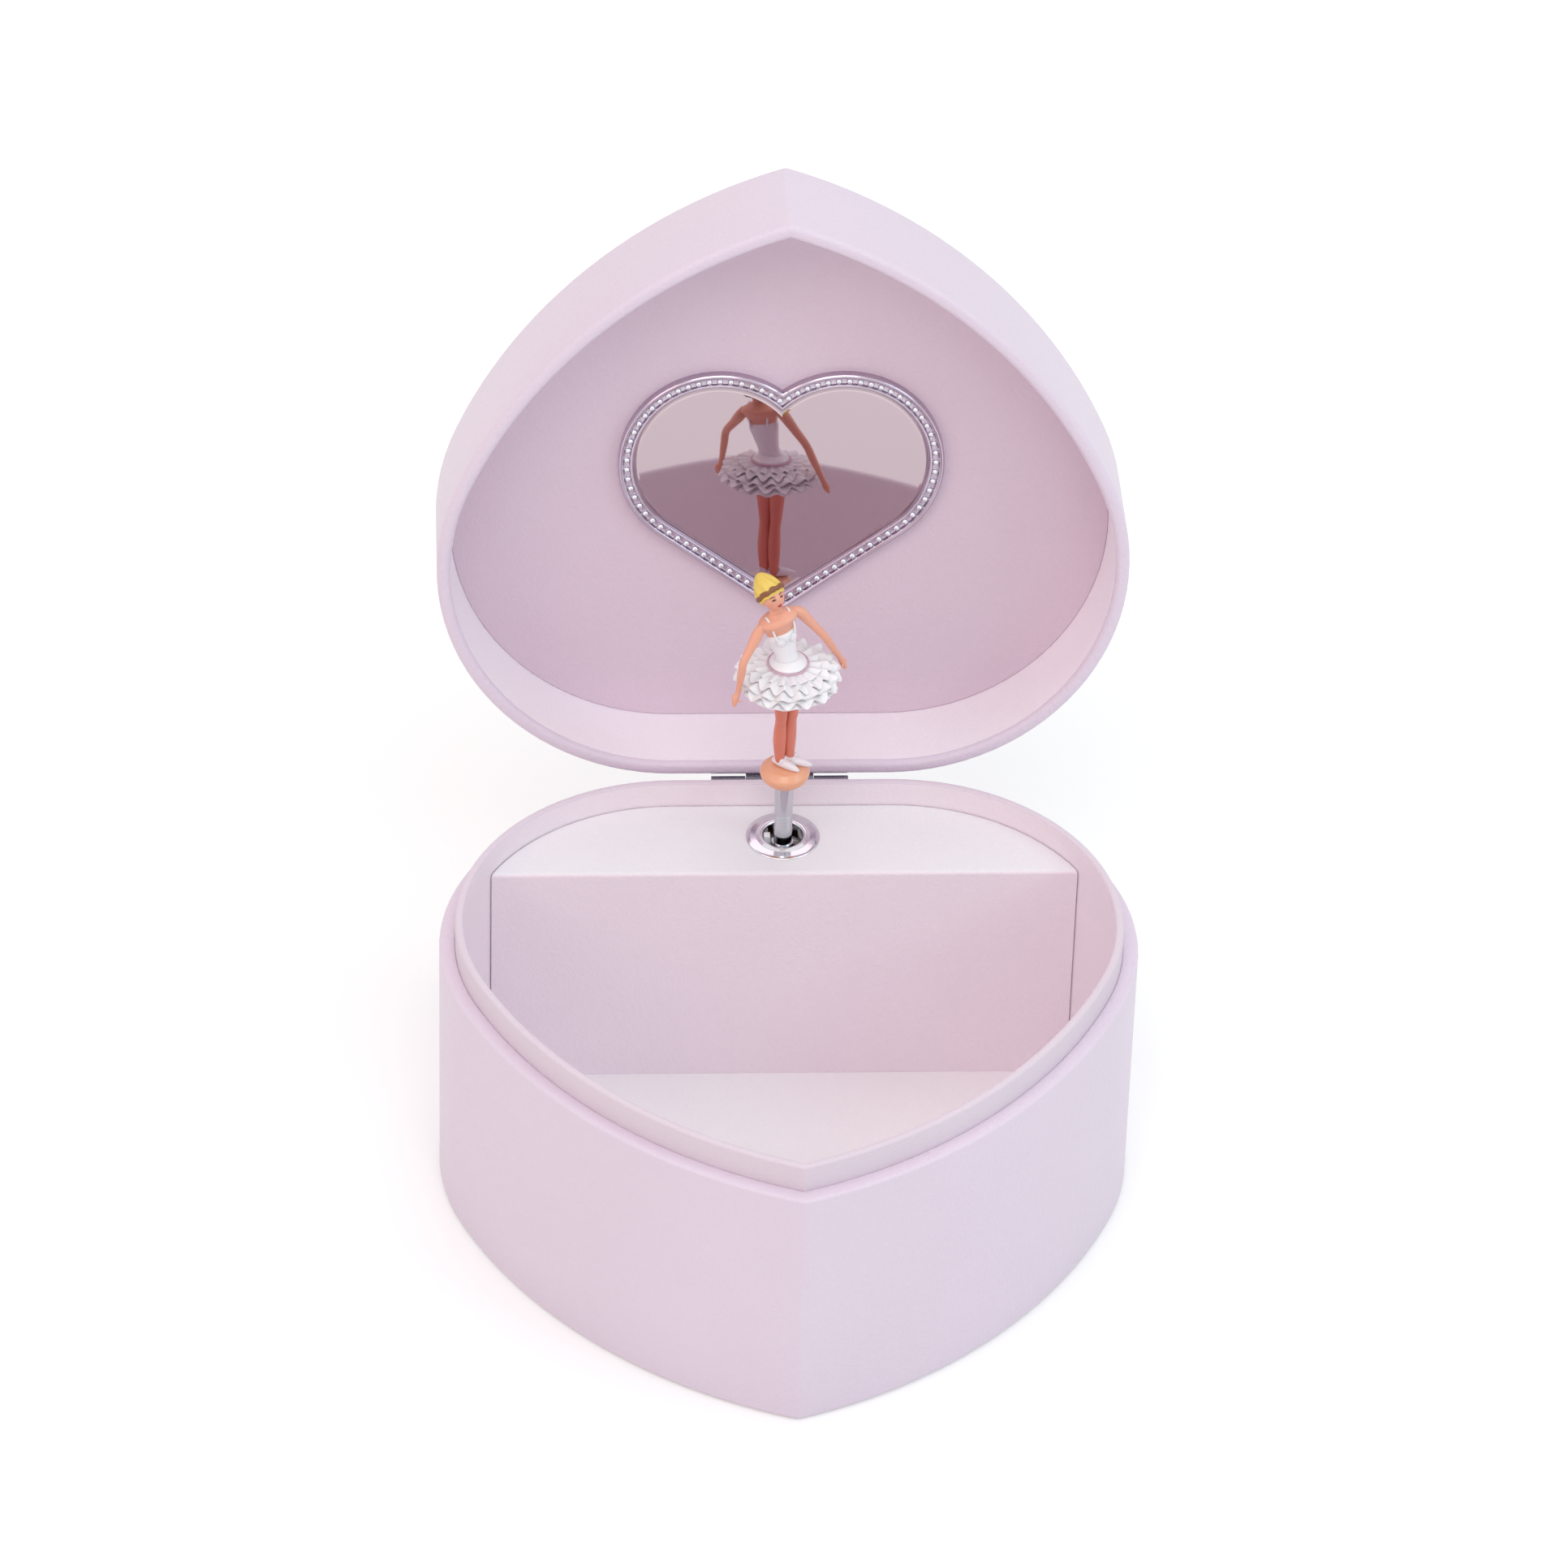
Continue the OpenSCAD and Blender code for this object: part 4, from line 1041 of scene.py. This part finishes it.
# The CAD's own nodes that stay. Pieces replace all others, so their steel isn't seen
NODE_FINISH = {
    "base_paper_sheet": paper, "bottom_board": board, "floor_lining": floor_paper,
    "hinge_leaf_base": steel, "hinge_leaf_lid": steel, "hinge_pin": steel, "hinge_screws_base": steel,
    "hinge_screws_lid": steel, "bedplate": zinc, "bedplate_screws": steel, "spring_barrel": brass,
    "mainspring": dark_steel, "lower_bearing": brass, "top_plate": brass, "governor_plate": brass,
    "comb": steel, "comb_block": zinc, "comb_screws": brass, "key_washer": brass, "winding_arbor": steel,
    "great_wheel": brass, "drum_arbor": steel, "drum_barrel": brass, "drum_wheel": brass,
    "spindle_hub": post_steel, "first_arbor": steel, "first_wheel": brass, "second_arbor": steel,
    "second_wheel": brass, "fan_arbor": steel, "fan_blades": brass, "stop_plunger": white_plastic,
    "figure_post": post_steel,
}
for name, node in nodes.items():
    node.data.materials.clear()
    node.data.materials.append(NODE_FINISH.get(name, steel))


def shown_background(tree):
    """1 for rays that see the background: from the camera, off metal or through glass. 0 for light."""
    ray = tree.nodes.new("ShaderNodeLightPath")
    seen = ray.outputs["Is Camera Ray"]
    for kind in ("Is Glossy Ray", "Is Transmission Ray"):
        either = tree.nodes.new("ShaderNodeMath")
        either.operation = "MAXIMUM"
        tree.links.new(seen, either.inputs[0])
        tree.links.new(ray.outputs[kind], either.inputs[1])
        seen = either.outputs["Value"]
    return seen


# The floor's own light grows from 0.17 at 0.2 m to 0.5 at 1 m, so that it fades into the white backdrop
FLOOR_FADE = (0.2, 1.0, 0.17, 0.5)
FLOOR_HALF = 4
FLOOR_GREY = 0.9


def floor():
    corners = [(x * FLOOR_HALF, y * FLOOR_HALF, 0) for x, y in ((-1, -1), (1, -1), (1, 1), (-1, 1))]
    mesh = bpy.data.meshes.new("floor")
    mesh.from_pydata(corners, [], [(0, 1, 2, 3)])
    ground = bpy.data.objects.new("floor", mesh)
    bpy.context.scene.collection.objects.link(ground)
    made = bpy.data.materials.new("floor_white")
    made.use_nodes = True
    tree = made.node_tree
    main = tree.nodes["Principled BSDF"]
    main.inputs["Base Color"].default_value = (FLOOR_GREY, FLOOR_GREY, FLOOR_GREY, 1)
    main.inputs["Roughness"].default_value = 0.9
    main.inputs["Specular IOR Level"].default_value = 0.1
    glow = tree.nodes.new("ShaderNodeEmission")
    level = tree.nodes.new("ShaderNodeMath")
    level.operation = "MULTIPLY"
    away = tree.nodes.new("ShaderNodeVectorMath")
    away.operation = "LENGTH"
    tree.links.new(tree.nodes.new("ShaderNodeTexCoord").outputs["Object"], away.inputs[0])
    fade = tree.nodes.new("ShaderNodeMapRange")
    for socket, value in zip(("From Min", "From Max", "To Min", "To Max"), FLOOR_FADE):
        fade.inputs[socket].default_value = value
    tree.links.new(away.outputs["Value"], fade.inputs["Value"])
    tree.links.new(fade.outputs["Result"], level.inputs[1])
    tree.links.new(shown_background(tree), level.inputs[0])
    tree.links.new(level.outputs["Value"], glow.inputs["Strength"])
    both = tree.nodes.new("ShaderNodeAddShader")
    tree.links.new(main.outputs["BSDF"], both.inputs[0])
    tree.links.new(glow.outputs["Emission"], both.inputs[1])
    tree.links.new(both.outputs["Shader"], tree.nodes["Material Output"].inputs["Surface"])
    mesh.materials.append(made)


# The world lights the scene with LIGHT_LEVEL of a warm white, and is seen as full white
WARM_WHITE = (1, 0.995, 0.99, 1)
LIGHT_LEVEL = 0.67


def world():
    made = bpy.data.worlds.new("studio")
    bpy.context.scene.world = made
    made.use_nodes = True
    tree = made.node_tree
    back = tree.nodes["Background"]
    shade = tree.nodes.new("ShaderNodeMix")
    shade.data_type = "RGBA"
    shade.inputs["A"].default_value = WARM_WHITE
    shade.inputs["B"].default_value = (1, 1, 1, 1)
    shown = shown_background(tree)
    level = tree.nodes.new("ShaderNodeMapRange")
    level.inputs["To Min"].default_value = LIGHT_LEVEL
    level.inputs["To Max"].default_value = 1.0
    tree.links.new(shown, shade.inputs["Factor"])
    tree.links.new(shade.outputs["Result"], back.inputs["Color"])
    tree.links.new(shown, level.inputs["Value"])
    tree.links.new(level.outputs["Result"], back.inputs["Strength"])


# Name, place, size, power and colour. All lamps point at LAMP_AIM
LAMPS = (
    ("right", (1.25, -0.6, 1.05), 0.7, 4.4, (0.62, 0.9, 1.0)),
    ("left", (-1.15, -0.8, 1.05), 0.7, 3.2, (1.0, 0.62, 0.56)),
    ("front", (-0.1, -0.85, 1.65), 1.0, 6.5, (1, 1, 1)),
    ("top", (0.1, 0.45, 1.75), 0.8, 4.2, (1, 1, 1)),
)
LAMP_AIM = Vector((0, 0, 0.07))


def lamp(name, place, size, power, colour):
    data = bpy.data.lights.new(name, "AREA")
    data.size = size
    data.energy = power
    data.color = colour
    light = bpy.data.objects.new(name, data)
    light.location = place
    light.rotation_mode = "QUATERNION"
    light.rotation_quaternion = (LAMP_AIM - Vector(place)).to_track_quat("-Z", "Y")
    bpy.context.scene.collection.objects.link(light)


# The camera that was fitted to the photograph: its place, the ways it calls right and back, and its lens
CAMERA_PLACE = (-0.083148, -1.385438, 1.228181)
CAMERA_RIGHT = (0.998951, -0.039083, 0.023852)
CAMERA_BACK = (-0.045383, -0.776155, 0.628907)
CAMERA_LENS = 194.09
CAMERA_SENSOR = 36


def camera():
    back = Vector(CAMERA_BACK).normalized()
    up = back.cross(Vector(CAMERA_RIGHT).normalized()).normalized()
    right = up.cross(back)
    data = bpy.data.cameras.new("camera")
    data.lens = CAMERA_LENS
    data.sensor_width = CAMERA_SENSOR
    data.clip_start = 0.05
    data.clip_end = 50
    eye = bpy.data.objects.new("camera", data)
    eye.matrix_world = Matrix((right, up, back)).transposed().to_4x4()
    eye.location = CAMERA_PLACE
    bpy.context.scene.collection.objects.link(eye)
    bpy.context.scene.camera = eye


floor()
world()
camera()
for row in LAMPS:
    lamp(*row)
bpy.context.scene.view_settings.view_transform = "Standard"
